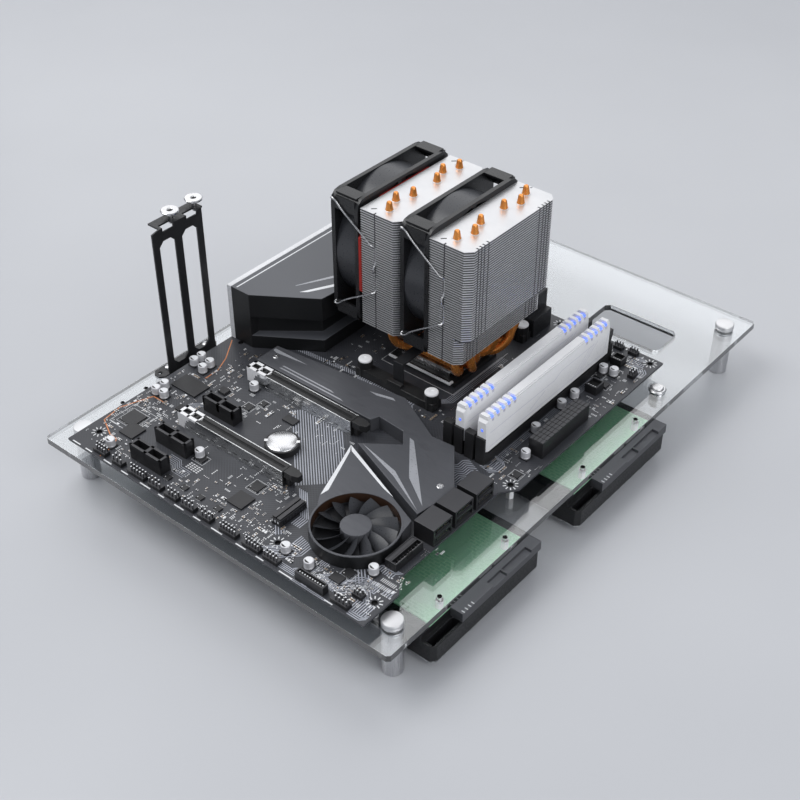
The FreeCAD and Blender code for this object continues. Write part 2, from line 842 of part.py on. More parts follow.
def make_rear_cover():
    """The moulded cover over the rear ports, its pale edge frame and the ports below it."""
    body = new_body("cover_body")
    left = s.cover_trim_width
    step = s.cover_set_back
    upper = polygon([
        (left, s.cover_near_y),
        (s.cover_wall_x, s.cover_near_y),
        (s.cover_front_x, s.cover_bend_y),
        (s.cover_front_x + s.cover_bend_out, s.cover_bend_y + s.cover_bend_rise),
        (s.cover_far_x, s.cover_far_y),
        (left, s.cover_far_y),
    ])
    wall = rectangle(left, s.cover_near_y, s.cover_wall_x - left, s.cover_far_y - s.cover_near_y)
    slab_x = s.cover_front_x + s.cover_bend_out
    slab = polygon([
        (left, s.cover_near_y),
        (s.cover_wall_x, s.cover_near_y),
        (slab_x, s.cover_bend_y),
        (slab_x, s.cover_far_y),
        (left, s.cover_far_y),
    ])
    inner = polygon([
        (left, s.cover_near_y + step),
        (s.cover_wall_x, s.cover_near_y + step),
        (s.cover_front_x - step, s.cover_bend_y + step),
        (s.cover_front_x - step, s.cover_far_y),
        (left, s.cover_far_y),
    ])
    pad(body, "cover_slab", "XY", 0, s.cover_slab_top, slab)
    pad(body, "cover_inner", "XY", 0, s.cover_top, inner)
    pad(body, "cover_wall", "XY", 0, s.cover_top, wall)
    pad(body, "cover_upper", "XY", s.cover_block_low, s.cover_top - s.cover_block_low, upper)
    port_y = s.cover_near_y + s.port_inset
    port_length = s.cover_far_y - s.cover_near_y - s.port_inset * 2
    mouth = rectangle(port_y, 0, port_length, s.port_top)
    pocket(body, "cover_port_space", "YZ", left, s.port_depth - left, mouth)
    node("io_cover", body)

    frame = new_body("trim_body")
    edge = polygon([
        (s.cover_near_y, 0),
        (port_y, 0),
        (port_y, s.port_top),
        (port_y + port_length, s.port_top),
        (port_y + port_length, 0),
        (s.cover_far_y, 0),
        (s.cover_far_y, s.cover_top),
        (s.cover_near_y, s.cover_top),
    ])
    pad(frame, "trim_pad", "YZ", 0, left, edge)
    node("io_cover_trim", frame)


def make_ports():
    """Metal port housings in a row under the rear cover, each with its mouths to the rear."""
    pieces = []
    count = 6
    row_y = s.cover_near_y + s.port_inset
    pitch = (s.cover_far_y - s.cover_near_y - s.port_inset * 2) / count
    width = pitch - s.port_gap
    depth = s.port_depth + s.port_proud - s.port_gap / 2
    for k in range(count):
        y = row_y + pitch * k + s.port_gap / 2
        height = s.port_tall if k % 2 else s.port_short
        shell = box(f"port_shell_{k}", (-s.port_proud, y, 0), (depth, width, height))
        mouths = []
        rows = 2 if k % 2 else 1
        row_height = height / rows
        for row in range(rows):
            corner = (-s.port_proud, y + s.port_wall, row_height * row + s.port_wall)
            dims = (s.port_mouth_depth, width - s.port_wall * 2, row_height - s.port_wall * 2)
            mouths.append(box(f"port_mouth_{k}_{row}", corner, dims))
        pieces.append(cut(f"port_{k}", shell, *mouths))
    node("rear_ports", group("port_group", *pieces))


def make_heatsink():
    """The finned block over the processor's supply parts."""
    body = new_body("heatsink_body")
    block = rectangle(s.heatsink_x, s.heatsink_y, s.heatsink_width, s.heatsink_length)
    pad(body, "heatsink_block", "XY", 0, s.heatsink_height, block)
    gap = rectangle(s.heatsink_x + (s.heatsink_fin_pitch - s.heatsink_fin_gap), s.heatsink_y,
                    s.heatsink_fin_gap, s.heatsink_length)
    gap_low = s.heatsink_height - s.heatsink_fin_depth
    first = pocket(body, "heatsink_gap", "XY", gap_low, s.heatsink_fin_depth, gap)
    count = int(number_of(s.heatsink_width) / number_of(s.heatsink_fin_pitch))
    repeat(body, "heatsink_gaps", first, "X", s.heatsink_fin_pitch, count)
    node("supply_heatsink", body)


def tube_along(points, radius, sides):
    """A round bar through points, with mitred corners and a set number of sides."""
    corners = [VECTOR(*[number_of(length) for length in point]) for point in points]
    path = Part.Wire([Part.makeLine(a, b) for a, b in zip(corners, corners[1:])])
    start = outline_at(corners[0], corners[1] - corners[0], number_of(radius), sides)
    return path.makePipeShell([Part.makePolygon(start + start[:1])], True, False, 1)


def outline_at(centre, direction, radius, sides):
    """The corners of a many-sided outline about a point, square to a direction."""
    turn_to = FreeCAD.Rotation(VECTOR(0, 0, 1), direction)
    corners = []
    for i in range(sides):
        turn = 2 * math.pi * i / sides
        corners.append(centre + turn_to.multVec(VECTOR(radius * math.cos(turn), radius * math.sin(turn), 0)))
    return corners


def make_chipset():
    """The chipset's cover with its fan ring, the base in the ring and the small rotor."""
    body = new_body("chipset_body")
    ring_middle = s.ring_radius - s.ring_wall / 2
    across, aside = ring_middle * 0.989, ring_middle * 0.146
    diamond = polygon([
        (s.diamond_tip_x, s.diamond_tip_y),
        (s.diamond_left_x, s.diamond_left_y),
        (s.ring_x - across, s.ring_y - aside),
        (s.ring_x, s.ring_y),
        (s.ring_x + across, s.ring_y + aside),
        (s.diamond_right_x, s.diamond_right_y),
    ])
    ring_middle_xy = (s.ring_x, s.ring_y)
    pad(body, "diamond_pad", "XY", 0, s.chipset_cover_top, diamond)
    boss(body, "ring_boss", "XY", 0, s.chipset_cover_top, ring_middle_xy, s.ring_radius, 40)
    bore_radius = s.ring_radius - s.ring_wall
    drill(body, "ring_bore", "XY", 0, s.chipset_cover_top, ring_middle_xy, bore_radius, 40)
    node("chipset_cover", body)

    base_radius = bore_radius - s.small_running_gap
    base = bar("chipset_base", (s.ring_x, s.ring_y, 0), base_radius, s.chipset_base_top, 28)
    node("chipset_heatsink", group("chipset_base_group", base))

    hub_low = number_of(s.chipset_base_top + s.small_running_gap)
    top = number_of(s.small_hub_top)
    rotor = make_rotor(
        number_of(s.small_hub_radius), hub_low, top - hub_low, number_of(s.small_blade_radius),
        number_of(s.small_blade_chord), number_of(s.small_blade_pitch), number_of(s.small_blade_thick),
        number_of(s.small_blade_camber), int(number_of(s.small_blade_count)),
    )
    rotor.translate(VECTOR(number_of(s.ring_x), number_of(s.ring_y), 0))
    node("chipset_fan_rotor", fixed("chipset_rotor_shape", rotor))


def blade_section(radius, chord, pitch, thick, camber, middle):
    """The corners of one cambered blade section, at a radius along X, about the Z axis."""
    along = VECTOR(0, math.cos(math.radians(pitch)), math.sin(math.radians(pitch)))
    out = VECTOR(0, -along.z, along.y)
    rises = [(-chord / 2, 0), (0, camber), (chord / 2, 0)]
    upper = [along * c + out * (rise + thick / 2) for c, rise in rises]
    lower = [along * c + out * (rise - thick / 2) for c, rise in reversed(rises)]
    shift = VECTOR(radius, 0, middle)
    return [point + shift for point in upper + lower]


def flat_face(corners):
    """A flat face through its corners."""
    return Part.Face(Part.makePolygon(corners + corners[:1]))


def between(first, last):
    """A solid with flat sides between two outlines of as many corners."""
    count = len(first)
    sides = [
        flat_face([first[i], first[(i + 1) % count], last[(i + 1) % count], last[i]])
        for i in range(count)
    ]
    return Part.Solid(Part.Shell([flat_face(first), flat_face(last)] + sides))


def make_rotor(hub_radius, low, height, tip_radius, chord, pitch, thick, camber, count):
    """A hub about the Z axis with pitched, cambered blades all round it."""
    middle = low + height / 2
    reach = chord / 2 * math.cos(math.radians(pitch)) + thick
    root = math.sqrt(hub_radius ** 2 - (reach * 0.6) ** 2) - thick
    tip = math.sqrt(tip_radius ** 2 - reach ** 2)
    blade = between(
        blade_section(root, chord * 0.6, pitch, thick, camber * 0.6, middle),
        blade_section(tip, chord, pitch, thick, camber, middle),
    )
    blades = []
    for k in range(count):
        copy = blade.copy()
        copy.rotate(VECTOR(), VECTOR(0, 0, 1), 360 * k / count)
        blades.append(copy)
    up = VECTOR(0, 0, 1)
    hub = between(*[outline_at(VECTOR(0, 0, z), up, hub_radius, 24) for z in (low, low + height)])
    return hub.fuse(blades)


def make_long_cover():
    """The flat cover over the drive cards, shaped round the upper slot and the chipset."""
    body = new_body("long_cover_body")
    outline = polygon([
        (s.m2_left_x, s.m2_cover_low_y),
        (s.m2_notch_x, s.m2_cover_low_y),
        (s.m2_notch_x + 2, s.m2_cover_low_y + 5.9),
        (s.m2_notch_x + 22.8, s.m2_cover_low_y + 4.3),
        (s.m2_notch_x + 30.9, s.m2_cover_low_y - 5.5),
        (s.diamond_tip_x + s.m2_gap_x, s.diamond_tip_y + s.m2_gap_y),
        (s.diamond_right_x - s.m2_gap_x * 0.2, s.diamond_right_y + s.m2_gap_y * 1.9),
        (s.m2_right_x - 0.4, s.m2_right_y - 18.9),
        (s.m2_right_x, s.m2_right_y),
        (s.m2_corner_x, s.m2_corner_y),
        (s.m2_corner_x - 16.3, s.m2_corner_y - 1.4),
        (s.m2_corner_x - 53, s.m2_corner_y + 17.4),
        (s.m2_left_x, s.m2_left_top_y),
    ])
    pad(body, "long_cover_pad", "XY", 0, s.m2_cover_top, outline)
    node("m2_cover", body)
    places = ((s.m2_screw_near_x, s.m2_screw_near_y), (s.m2_screw_far_x, s.m2_screw_far_y))
    screws = [
        bar(f"long_cover_screw_{k}", (x, y, s.m2_cover_top), s.cover_screw_radius, s.cover_screw_height, 12)
        for k, (x, y) in enumerate(places)
    ]
    node("m2_cover_screws", group("long_cover_screw_group", *screws))


def make_slots():
    """Expansion slots: three short ones and two long shielded ones with their latches."""
    short, long_bodies, shields = [], [], []
    for n in (0, 1, 3):
        short.append(slot_block(f"short_slot_{n}", n, s.short_slot_length, s.short_slot_width))
    for k, n in enumerate((2, 5)):
        long_bodies.append(slot_block(f"long_slot_{n}", n, s.long_slot_length, s.long_slot_width))
        y = s.slot_first_y + s.slot_pitch * n
        outer_width = s.long_slot_width + s.shield_thick * 2
        outer = box(f"shield_outer_{n}", (s.slot_rear_x - s.shield_thick, y - outer_width / 2, 0),
                    (s.long_slot_length + s.shield_thick, outer_width, s.slot_height))
        inner = box(f"shield_inner_{n}", (s.slot_rear_x, y - s.long_slot_width / 2, 0),
                    (s.long_slot_length, s.long_slot_width, s.slot_height))
        shields.append(cut(f"shield_{n}", outer, inner))
        body = new_body(f"slot_latch_body_{n}")
        x = s.slot_rear_x + s.long_slot_length + s.slot_latch_gap
        half = s.slot_latch_half_width
        head = polygon([
            (x, y - half),
            (x + s.slot_latch_length * 0.6, y - half),
            (x + s.slot_latch_length, y - half * 0.5),
            (x + s.slot_latch_length, y + half * 0.5),
            (x + s.slot_latch_length * 0.6, y + half),
            (x, y + half),
        ])
        stem = rectangle(x, y - half * 0.7, s.slot_latch_stem, half * 1.4)
        low, neck, top = s.slot_latch_low, s.slot_latch_head_low, s.slot_latch_top
        pad(body, f"slot_latch_stem_{n}", "XY", low, neck - low, stem)
        pad(body, f"slot_latch_head_{n}", "XY", neck, top - neck, head)
        node(("lower_slot_latch", "upper_slot_latch")[k], body)
    node("short_slots", group("short_slot_group", *short))
    node("long_slots", group("long_slot_group", *long_bodies))
    node("slot_shields", group("shield_group", *shields))


def slot_block(name, n, length, width):
    """A slot's moulded block with a mouth on each side of its key."""
    y = s.slot_first_y + s.slot_pitch * n
    block = box(name + "_block", (s.slot_rear_x, y - width / 2, 0), (length, width, s.slot_height))
    mouth_y = y - s.slot_mouth_width / 2
    low = s.slot_height - s.slot_mouth_depth
    key_end = s.slot_key_x + s.slot_key_length
    first = box(name + "_mouth_a", (s.slot_rear_x + s.slot_end_wall, mouth_y, low),
                (s.slot_key_x - s.slot_end_wall, s.slot_mouth_width, s.slot_mouth_depth))
    second = box(name + "_mouth_b", (s.slot_rear_x + key_end, mouth_y, low),
                 (length - key_end - s.slot_end_wall, s.slot_mouth_width, s.slot_mouth_depth))
    return cut(name, block, first, second)


def make_memory():
    """Four memory slots with a latch each, and two modules in every second slot."""
    slots, boards, spreaders = [], [], []
    half = s.memory_slot_width / 2
    inner_near = s.memory_near_y + s.memory_tower_length
    inner_far = s.memory_far_y - s.memory_tower_length
    for k in range(4):
        x = s.memory_first_x + s.memory_pitch * k
        block = box(f"memory_block_{k}", (x - half, s.memory_near_y, 0),
                    (s.memory_slot_width, inner_far - s.memory_near_y, s.memory_slot_height))
        tower = box(f"memory_tower_{k}", (x - half, s.memory_near_y, 0),
                    (s.memory_slot_width, s.memory_tower_length, s.memory_tower_height))
        cheek_thick = half - s.latch_width / 2 - s.latch_gap
        cheeks = [
            box(f"memory_cheek_{k}_{side}", (cheek_x, inner_far, 0),
                (cheek_thick, s.memory_tower_length, s.memory_cheek_height))
            for side, cheek_x in enumerate((x - half, x + half - cheek_thick))
        ]
        mouth_low = s.memory_slot_height - s.memory_mouth_depth
        mouth = box(f"memory_mouth_{k}", (x - s.memory_mouth_width / 2, inner_near, mouth_low),
                    (s.memory_mouth_width, inner_far - inner_near, s.memory_mouth_depth))
        slots.append(cut(f"memory_slot_{k}", fuse(f"memory_whole_{k}", block, tower, *cheeks), mouth))
        make_memory_latch(k, x, inner_far)
        if k % 2:
            boards.append(memory_board(k, x, inner_near, inner_far))
            spreaders.append(memory_spreader(k, x, inner_near, inner_far))
    node("memory_slots", group("memory_slot_group", *slots))
    node("memory_boards", group("memory_board_group", *boards))
    node("memory_spreaders", group("memory_spreader_group", *spreaders))


def make_memory_latch(k, x, e):
    """A hooked latch between the cheeks at a slot's far end, whose inner face is at e."""
    hook = s.latch_hook_low
    body = new_body(f"memory_latch_body_{k}")
    outline = polygon([
        (e + 2.2, s.latch_foot),
        (e + 3.8, s.latch_foot),
        (e + s.memory_tower_length - 0.1, s.memory_cheek_height),
        (e + s.memory_tower_length + 1.9, hook + s.latch_hook_height),
        (e + s.memory_tower_length + 1.9, s.latch_top),
        (e + 0.6, s.latch_top),
        (e + 0.6, hook + s.latch_hook_height),
        (e - s.latch_hook_reach, hook + s.latch_hook_height),
        (e - s.latch_hook_reach, hook),
        (e + 0.6, hook),
        (e + 0.6, s.latch_pivot_rise),
    ])
    pad(body, f"memory_latch_pad_{k}", "YZ", x - s.latch_width / 2, s.latch_width, outline)
    node(f"memory_latch_{k + 1}", body)


def memory_board(k, x, inner_near, inner_far):
    """A module's board, with the notch that its latch hooks into."""
    low = s.memory_slot_height - s.memory_mouth_depth + s.memory_end_gap
    near = inner_near + s.memory_end_gap
    far = inner_far - s.memory_end_gap
    whole = box(f"memory_board_{k}", (x - s.memory_board_thick / 2, near, low),
                (s.memory_board_thick, far - near, s.memory_board_height - low))
    notch_near = far - s.latch_hook_reach - s.memory_end_gap * 2
    notch_low = s.latch_hook_low - s.memory_notch_room
    notch = box(f"memory_notch_{k}", (x - s.memory_board_thick, notch_near, notch_low),
                (s.memory_board_thick * 2, s.latch_hook_reach + s.memory_end_gap * 3,
                 s.latch_hook_height + s.memory_notch_room * 2))
    return cut(f"memory_board_cut_{k}", whole, notch)


def memory_spreader(k, x, inner_near, inner_far):
    """The finned cover over a module: sloped sides, a flat ridge and notches near each end."""
    body = new_body(f"spreader_body_{k}")
    near = inner_near + s.spreader_end_gap
    far = inner_far - s.spreader_far_gap
    wide, ridge = s.spreader_half_width, s.spreader_ridge_half
    lower = polygon([
        (x - wide, s.spreader_low),
        (x + wide, s.spreader_low),
        (x + wide, s.spreader_shoulder),
        (x + ridge, s.spreader_top),
        (x - ridge, s.spreader_top),
        (x - wide, s.spreader_shoulder),
    ])
    pad(body, f"spreader_pad_{k}", "XZ", near, far - near, lower)
    step = s.memory_tower_height + s.spreader_end_gap
    upper = polygon([
        (x - wide, step),
        (x + wide, step),
        (x + wide, s.spreader_shoulder),
        (x + ridge, s.spreader_top),
        (x - ridge, s.spreader_top),
        (x - wide, s.spreader_shoulder),
    ])
    pad(body, f"spreader_end_{k}", "XZ", near - s.spreader_overhang, s.spreader_overhang, upper)
    slot_half = s.memory_board_thick / 2 + s.spreader_fit
    board_slot = rectangle(x - slot_half, s.spreader_low, slot_half * 2,
                           s.memory_board_height + s.spreader_fit - s.spreader_low)
    slot_near = inner_near + s.memory_end_gap - s.spreader_fit
    pocket(body, f"spreader_slot_{k}", "XZ", slot_near, far - slot_near, board_slot)
    ridge_run = s.ridge_notch_width + s.ridge_notch_pitch * 4
    ridge_low = s.spreader_top - s.ridge_notch_depth
    for end, first_y in enumerate((near + s.ridge_notch_first, far - s.ridge_notch_first - ridge_run)):
        notch = rectangle(first_y, ridge_low, s.ridge_notch_width, s.ridge_notch_depth)
        first = pocket(body, f"ridge_notch_{k}_{end}", "YZ", x, wide, notch)
        repeat(body, f"ridge_notches_{k}_{end}", first, "Y", s.ridge_notch_pitch, 5)
    return body


def make_cooler():
    """The cooler: two fin towers on six bent pipes, a base and the bar that clamps it."""
    make_tower("rear_fin_stack", s.rear_tower_x, False)
    make_tower("front_fin_stack", s.front_tower_x, True)
    make_pipes()

    base_low = s.socket_height + s.processor_height
    pipe_low = s.pipe_run_height - s.pipe_radius
    plate = box("base_plate", (s.base_x, s.cooler_y - s.base_length / 2, base_low),
                (s.base_width, s.base_length, pipe_low - base_low - s.pipe_fit))
    block_low = s.pipe_run_height + s.pipe_radius + s.pipe_fit
    block = box("base_block", (s.base_x, s.cooler_y - s.base_length / 2, block_low),
                (s.base_width, s.base_length, s.base_block_height))
    node("cooler_base", group("cooler_base_group", plate, block))

    body = new_body("clip_bar_body")
    bar_low = block_low + s.base_block_height
    far_y = s.bracket_near_y + s.bracket_pitch_y
    low = s.bracket_bar_height
    profile = polygon([
        (s.bracket_near_y, low),
        (s.bracket_near_y + s.clip_bar_thick, low),
        (s.bracket_near_y + s.clip_bar_thick, bar_low),
        (far_y - s.clip_bar_thick, bar_low),
        (far_y - s.clip_bar_thick, low),
        (far_y, low),
        (far_y, bar_low + s.clip_bar_thick),
        (s.bracket_near_y, bar_low + s.clip_bar_thick),
    ])
    pad(body, "clip_bar_pad", "YZ", SOCKET_MIDDLE_X - s.clip_bar_width / 2, s.clip_bar_width, profile)
    node("cooler_clip_bar", body)


def make_tower(name, x, step):
    """A stack of thin fins round a core, as one pad with an even row of gaps cut into it."""
    body = new_body(name + "_body")
    low_y = s.cooler_y - s.tower_width / 2
    far_x = x + s.tower_depth
    high_y = s.cooler_y + s.tower_width / 2
    corner = s.fin_corner_cut
    outline = polygon([
        (x, low_y),
        (far_x - corner, low_y),
        (far_x, low_y + corner),
        (far_x, high_y - corner),
        (far_x - corner, high_y),
        (x, high_y),
    ])
    height = s.tower_top - s.tower_bottom
    pad(body, name + "_pad", "XY", s.tower_bottom, height, outline)
    if step:
        front = rectangle(far_x - s.front_step_depth, low_y, s.front_step_depth, s.tower_width)
        pocket(body, name + "_step", "XY", s.tower_bottom, s.front_step_height, front)
    pitch = (height - s.fin_thick) / s.fin_count
    margin = s.fin_reach
    around = rectangle(x - 1, low_y - 1, s.tower_depth + 2, s.tower_width + 2)
    core = rectangle(x + margin, low_y + margin, s.tower_depth - margin * 2, s.tower_width - margin * 2)
    gap = pocket(body, name + "_gap", "XY", s.tower_bottom + s.fin_thick, pitch - s.fin_thick, around, core)
    repeat(body, name + "_gaps", gap, "Z", pitch, int(number_of(s.fin_count)))
    node(name, body)


def make_pipes():
    """Six copper pipes, each bent from one tower through the base to the other, and their tips."""
    pieces = []
    run = s.pipe_run_height
    bend = s.tower_bottom - s.pipe_corner_drop
    for side in (-1, 1):
        for k in range(3):
            tower_y = s.cooler_y + side * (s.pipe_first_offset + s.pipe_tower_pitch * k)
            base_y = s.cooler_y + side * s.pipe_base_pitch * (k + 0.5)
            shift = s.pipe_stagger if k == 1 else s.pipe_stagger * 0
            rear_x = s.rear_tower_x + s.pipe_rear_leg - shift
            front_x = s.front_tower_x + s.pipe_front_leg + shift
            points = [
                (rear_x, tower_y, s.tower_bottom),
                (rear_x, tower_y, bend),
                (rear_x, base_y, run),
                (front_x, base_y, run),
                (front_x, tower_y, bend),
                (front_x, tower_y, s.tower_bottom),
            ]
            pieces.append(fixed(f"pipe_{side}_{k}", tube_along(points, s.pipe_radius, 8)))
            for end, tip_x in enumerate((rear_x, front_x)):
                pieces.append(fixed(f"pipe_tip_{side}_{k}_{end}", pipe_tip(tip_x, tower_y)))
    node("heat_pipes", group("pipe_group", *pieces))


def pipe_tip(x, y):
    """The tapered end of a pipe, standing on a tower's top."""
    low = VECTOR(*[number_of(length) for length in (x, y, s.tower_top)])
    high = low + VECTOR(0, 0, number_of(s.pipe_tip_height))
    up = VECTOR(0, 0, 1)
    wide = outline_at(low, up, number_of(s.pipe_radius), 8)
    narrow = outline_at(high, up, number_of(s.pipe_tip_radius), 8)
    return between(wide, narrow)


def make_fans():
    """Two cooler fans with their rotors, the gasket behind the rear fan and the wire clips."""
    clips = []
    fans = (
        ("rear", s.rear_tower_x - s.gasket_thick - s.fan_thick, s.rear_tower_x),
        ("front", s.front_tower_x - s.fan_thick, s.front_tower_x),
    )
    for name, x, tower_x in fans:
        make_fan(name, x)
        for side in (-1, 1):
            clips.append(fixed(f"{name}_clip_{side}", clip_wire(x, tower_x, side)))
    node("fan_clips", group("clip_group", *clips))

    body = new_body("gasket_body")
    y, z = s.cooler_y, s.fan_centre_z
    wide, tall, slope = s.fan_size / 2, s.gasket_half_height, s.gasket_corner_cut
    outline = polygon([
        (y - wide + slope, z - tall), (y + wide - slope, z - tall),
        (y + wide, z - tall + slope), (y + wide, z + tall - slope),
        (y + wide - slope, z + tall), (y - wide + slope, z + tall),
        (y - wide, z + tall - slope), (y - wide, z - tall + slope),
    ])
    gasket_x = s.rear_tower_x - s.gasket_thick
    pad(body, "gasket_pad", "YZ", gasket_x, s.gasket_thick, outline)
    drill(body, "gasket_hole", "YZ", gasket_x, s.gasket_thick, (y, z), s.gasket_hole_radius, 24)
    node("fan_gasket", body)


def make_fan(name, x):
    """A fan frame of two flanges and a tunnel, with its motor mount, and the rotor in it."""
    y, z = s.cooler_y, s.fan_centre_z
    half = s.fan_size / 2
    chamfer = s.fan_corner_cut
    body = new_body(name + "_fan_body")
    corners = [
        (y - half + chamfer, z - half), (y + half - chamfer, z - half),
        (y + half, z - half + chamfer), (y + half, z + half - chamfer),
        (y + half - chamfer, z + half), (y - half + chamfer, z + half),
        (y - half, z + half - chamfer), (y - half, z - half + chamfer),
    ]
    flange = s.fan_flange_thick
    pad(body, name + "_flange_a", "YZ", x, flange, polygon(corners))
    boss(body, name + "_tunnel", "YZ", x + flange, s.fan_thick - flange * 2, (y, z),
         s.fan_tunnel_radius + s.fan_tunnel_wall, 32)
    pad(body, name + "_flange_b", "YZ", x + s.fan_thick - flange, flange, polygon(corners))
    drill(body, name + "_bore", "YZ", x, s.fan_thick, (y, z), s.fan_tunnel_radius, 32)
    mount_x = x + s.fan_thick - s.fan_motor_inset - s.fan_motor_thick
    strut = s.fan_strut_width / 2
    reach = s.fan_tunnel_radius + s.fan_tunnel_wall / 2
    flat_strut = rectangle(y - reach, z - strut, reach * 2, strut * 2)
    tall_strut = rectangle(y - strut, z - reach, strut * 2, reach * 2)
    pad(body, name + "_strut_a", "YZ", mount_x, s.fan_motor_thick, flat_strut)
    pad(body, name + "_strut_b", "YZ", mount_x, s.fan_motor_thick, tall_strut)
    boss(body, name + "_mount", "YZ", mount_x, s.fan_motor_thick, (y, z), s.fan_hub_radius, 24)
    node(name + "_fan_frame", body)

    length = number_of(mount_x - x - s.fan_blade_inset - s.fan_running_gap)
    rotor = make_rotor(
        number_of(s.fan_hub_radius), 0, length, number_of(s.fan_blade_radius), number_of(s.blade_chord),
        number_of(s.blade_pitch), number_of(s.blade_thick), number_of(s.blade_camber),
        int(number_of(s.blade_count)),
    )
    rotor.rotate(VECTOR(), VECTOR(0, 1, 0), 90)
    rotor.translate(VECTOR(number_of(x + s.fan_blade_inset), number_of(y), number_of(z)))
    node(name + "_fan_rotor", fixed(name + "_rotor_shape", rotor))


def wider(one, other):
    """The larger of two lengths."""
    return one if number_of(one) > number_of(other) else other


def clip_wire(fan_x, tower_x, side):
    """One wire clip, from the fan's flange down the tower's side and back to the flange."""
    clear = s.clip_wire_radius + s.clip_wire_gap
    outer_y = s.cooler_y + side * (wider(s.fan_size, s.tower_width) / 2 + clear)
    hold_x = tower_x + s.clip_hold_x
    start_x = fan_x + s.fan_flange_thick / 2
    top = s.fan_centre_z + s.fan_size / 2 - s.clip_end_drop
    low = s.fan_centre_z - s.fan_size / 2 + s.clip_end_drop
    return tube_along([
        (start_x, outer_y, top),
        (hold_x, outer_y, top - s.clip_slope),
        (hold_x, outer_y, low + s.clip_slope),
        (start_x, outer_y, low),
    ], s.clip_wire_radius, 6)


def make_socket():
    """The processor in its socket, the socket's lever and the cooler's two brackets."""
    node("cpu_socket", group("socket_group", box(
        "socket_block", (s.socket_x, s.socket_y, 0), (s.socket_width, s.socket_length, s.socket_height))))
    middle = s.socket_y + s.socket_length / 2
    half = s.processor_size / 2
    processor = box("processor_block", (SOCKET_MIDDLE_X - half, middle - half, s.socket_height),
                    (s.processor_size, s.processor_size, s.processor_height))
    node("processor", group("processor_group", processor))
    lever = tube_along([
        (s.lever_free_x, s.lever_y, s.lever_height),
        (s.lever_pivot_x, s.lever_y, s.lever_height),
        (s.lever_pivot_x, s.socket_y - s.lever_end_gap, s.lever_height),
    ], s.lever_radius, 6)
    node("socket_lever", fixed("lever_shape", lever))

    brackets, caps = [], []
    for row in (0, 1):
        y = s.bracket_near_y + s.bracket_pitch_y * row
        bar_length = s.bracket_pitch_x + s.bracket_bar_width
        bar_half = s.bracket_bar_width / 2
        pieces = [box(f"bracket_bar_{row}", (s.bracket_left_x - bar_half, y - bar_half, 0),
                      (bar_length, s.bracket_bar_width, s.bracket_bar_height))]
        outer_y = y - bar_half if row == 0 else y + bar_half - s.bracket_lug_length
        lug_x = SOCKET_MIDDLE_X - s.bracket_lug_width / 2
        pieces.append(box(f"bracket_lug_{row}", (lug_x, outer_y, s.bracket_bar_height),
                          (s.bracket_lug_width, s.bracket_lug_length, s.bracket_lug_height)))
        for k in (0, 1):
            x = s.bracket_left_x + s.bracket_pitch_x * k
            pieces.append(bar(f"bracket_post_{row}_{k}", (x, y, 0),
                              s.bracket_post_radius, s.bracket_post_height, 8))
            caps.append(bar(f"bracket_cap_{row}_{k}", (x, y, s.bracket_post_height),
                            s.bracket_cap_radius, s.bracket_cap_height, 8))
        brackets.append(fuse(f"bracket_{row}", *pieces))
    node("cooler_brackets", group("bracket_group", *brackets))
    node("bracket_screw_caps", group("bracket_cap_group", *caps))


def make_drives():
    """Two drives hung on spacers: a cast housing, its lid, its circuit board and its port."""
    housings, lids, boards, ports, spacers = [], [], [], [], []
    rear_x = s.drive_front_x - s.drive_length
    low = DRIVE_TOP - s.drive_height
    cast_low = low + s.drive_lid_thick
    cast_top = DRIVE_TOP - s.drive_board_thick
    shelf_x = s.drive_front_x - s.drive_shelf_depth
    shelf_z = DRIVE_TOP - s.drive_port_height
    for k, y in enumerate(DRIVE_YS):
        body = new_body(f"drive_body_{k}")
        bevel = s.drive_bevel
        corners = [
            (rear_x + bevel, y), (s.drive_front_x - bevel, y),
            (s.drive_front_x, y + bevel), (s.drive_front_x, y + s.drive_width - bevel),
            (s.drive_front_x - bevel, y + s.drive_width), (rear_x + bevel, y + s.drive_width),
            (rear_x, y + s.drive_width - bevel), (rear_x, y + bevel),
        ]
        pad(body, f"drive_cast_{k}", "XY", cast_low, cast_top - cast_low, polygon(corners))
        shelf = rectangle(shelf_x, y, s.drive_shelf_depth, s.drive_width)
        pocket(body, f"drive_shelf_{k}", "XY", shelf_z, cast_top - shelf_z, shelf)
        well = rectangle(shelf_x + s.drive_well_side, y + s.drive_well_side,
                         s.drive_shelf_depth - s.drive_well_side * 2, s.drive_port_y - s.drive_well_side)
        pocket(body, f"drive_well_{k}", "XY", shelf_z - s.drive_well_depth, s.drive_well_depth, well)
        housings.append(body)
        ports.append(drive_port(k, shelf_x, y + s.drive_port_y, shelf_z))
        inset = s.drive_board_inset
        boards.append(box(f"drive_board_{k}", (shelf_x - s.drive_board_length, y + inset, cast_top),
                          (s.drive_board_length, s.drive_width - inset * 2, s.drive_board_thick)))
        lid = new_body(f"drive_lid_body_{k}")
        pad(lid, f"drive_lid_{k}", "XY", low, s.drive_lid_thick, polygon(corners))
        lids.append(lid)
    for k, y in enumerate(SPACER_YS):
        for end, x in enumerate((SPACER_X, SPACER_X - s.drive_spacer_pitch)):
            spacers.append(bar(f"drive_spacer_{k}_{end}", (x, y, DRIVE_TOP), s.drive_spacer_radius,
                               s.drive_spacer_height, 6))
    node("drive_housings", group("drive_group", *housings))
    node("drive_lids", group("drive_lid_group", *lids))
    node("drive_circuit_boards", group("drive_board_group", *boards))
    node("drive_ports", group("drive_port_group", *ports))
    node("drive_spacers", group("drive_spacer_group", *spacers))


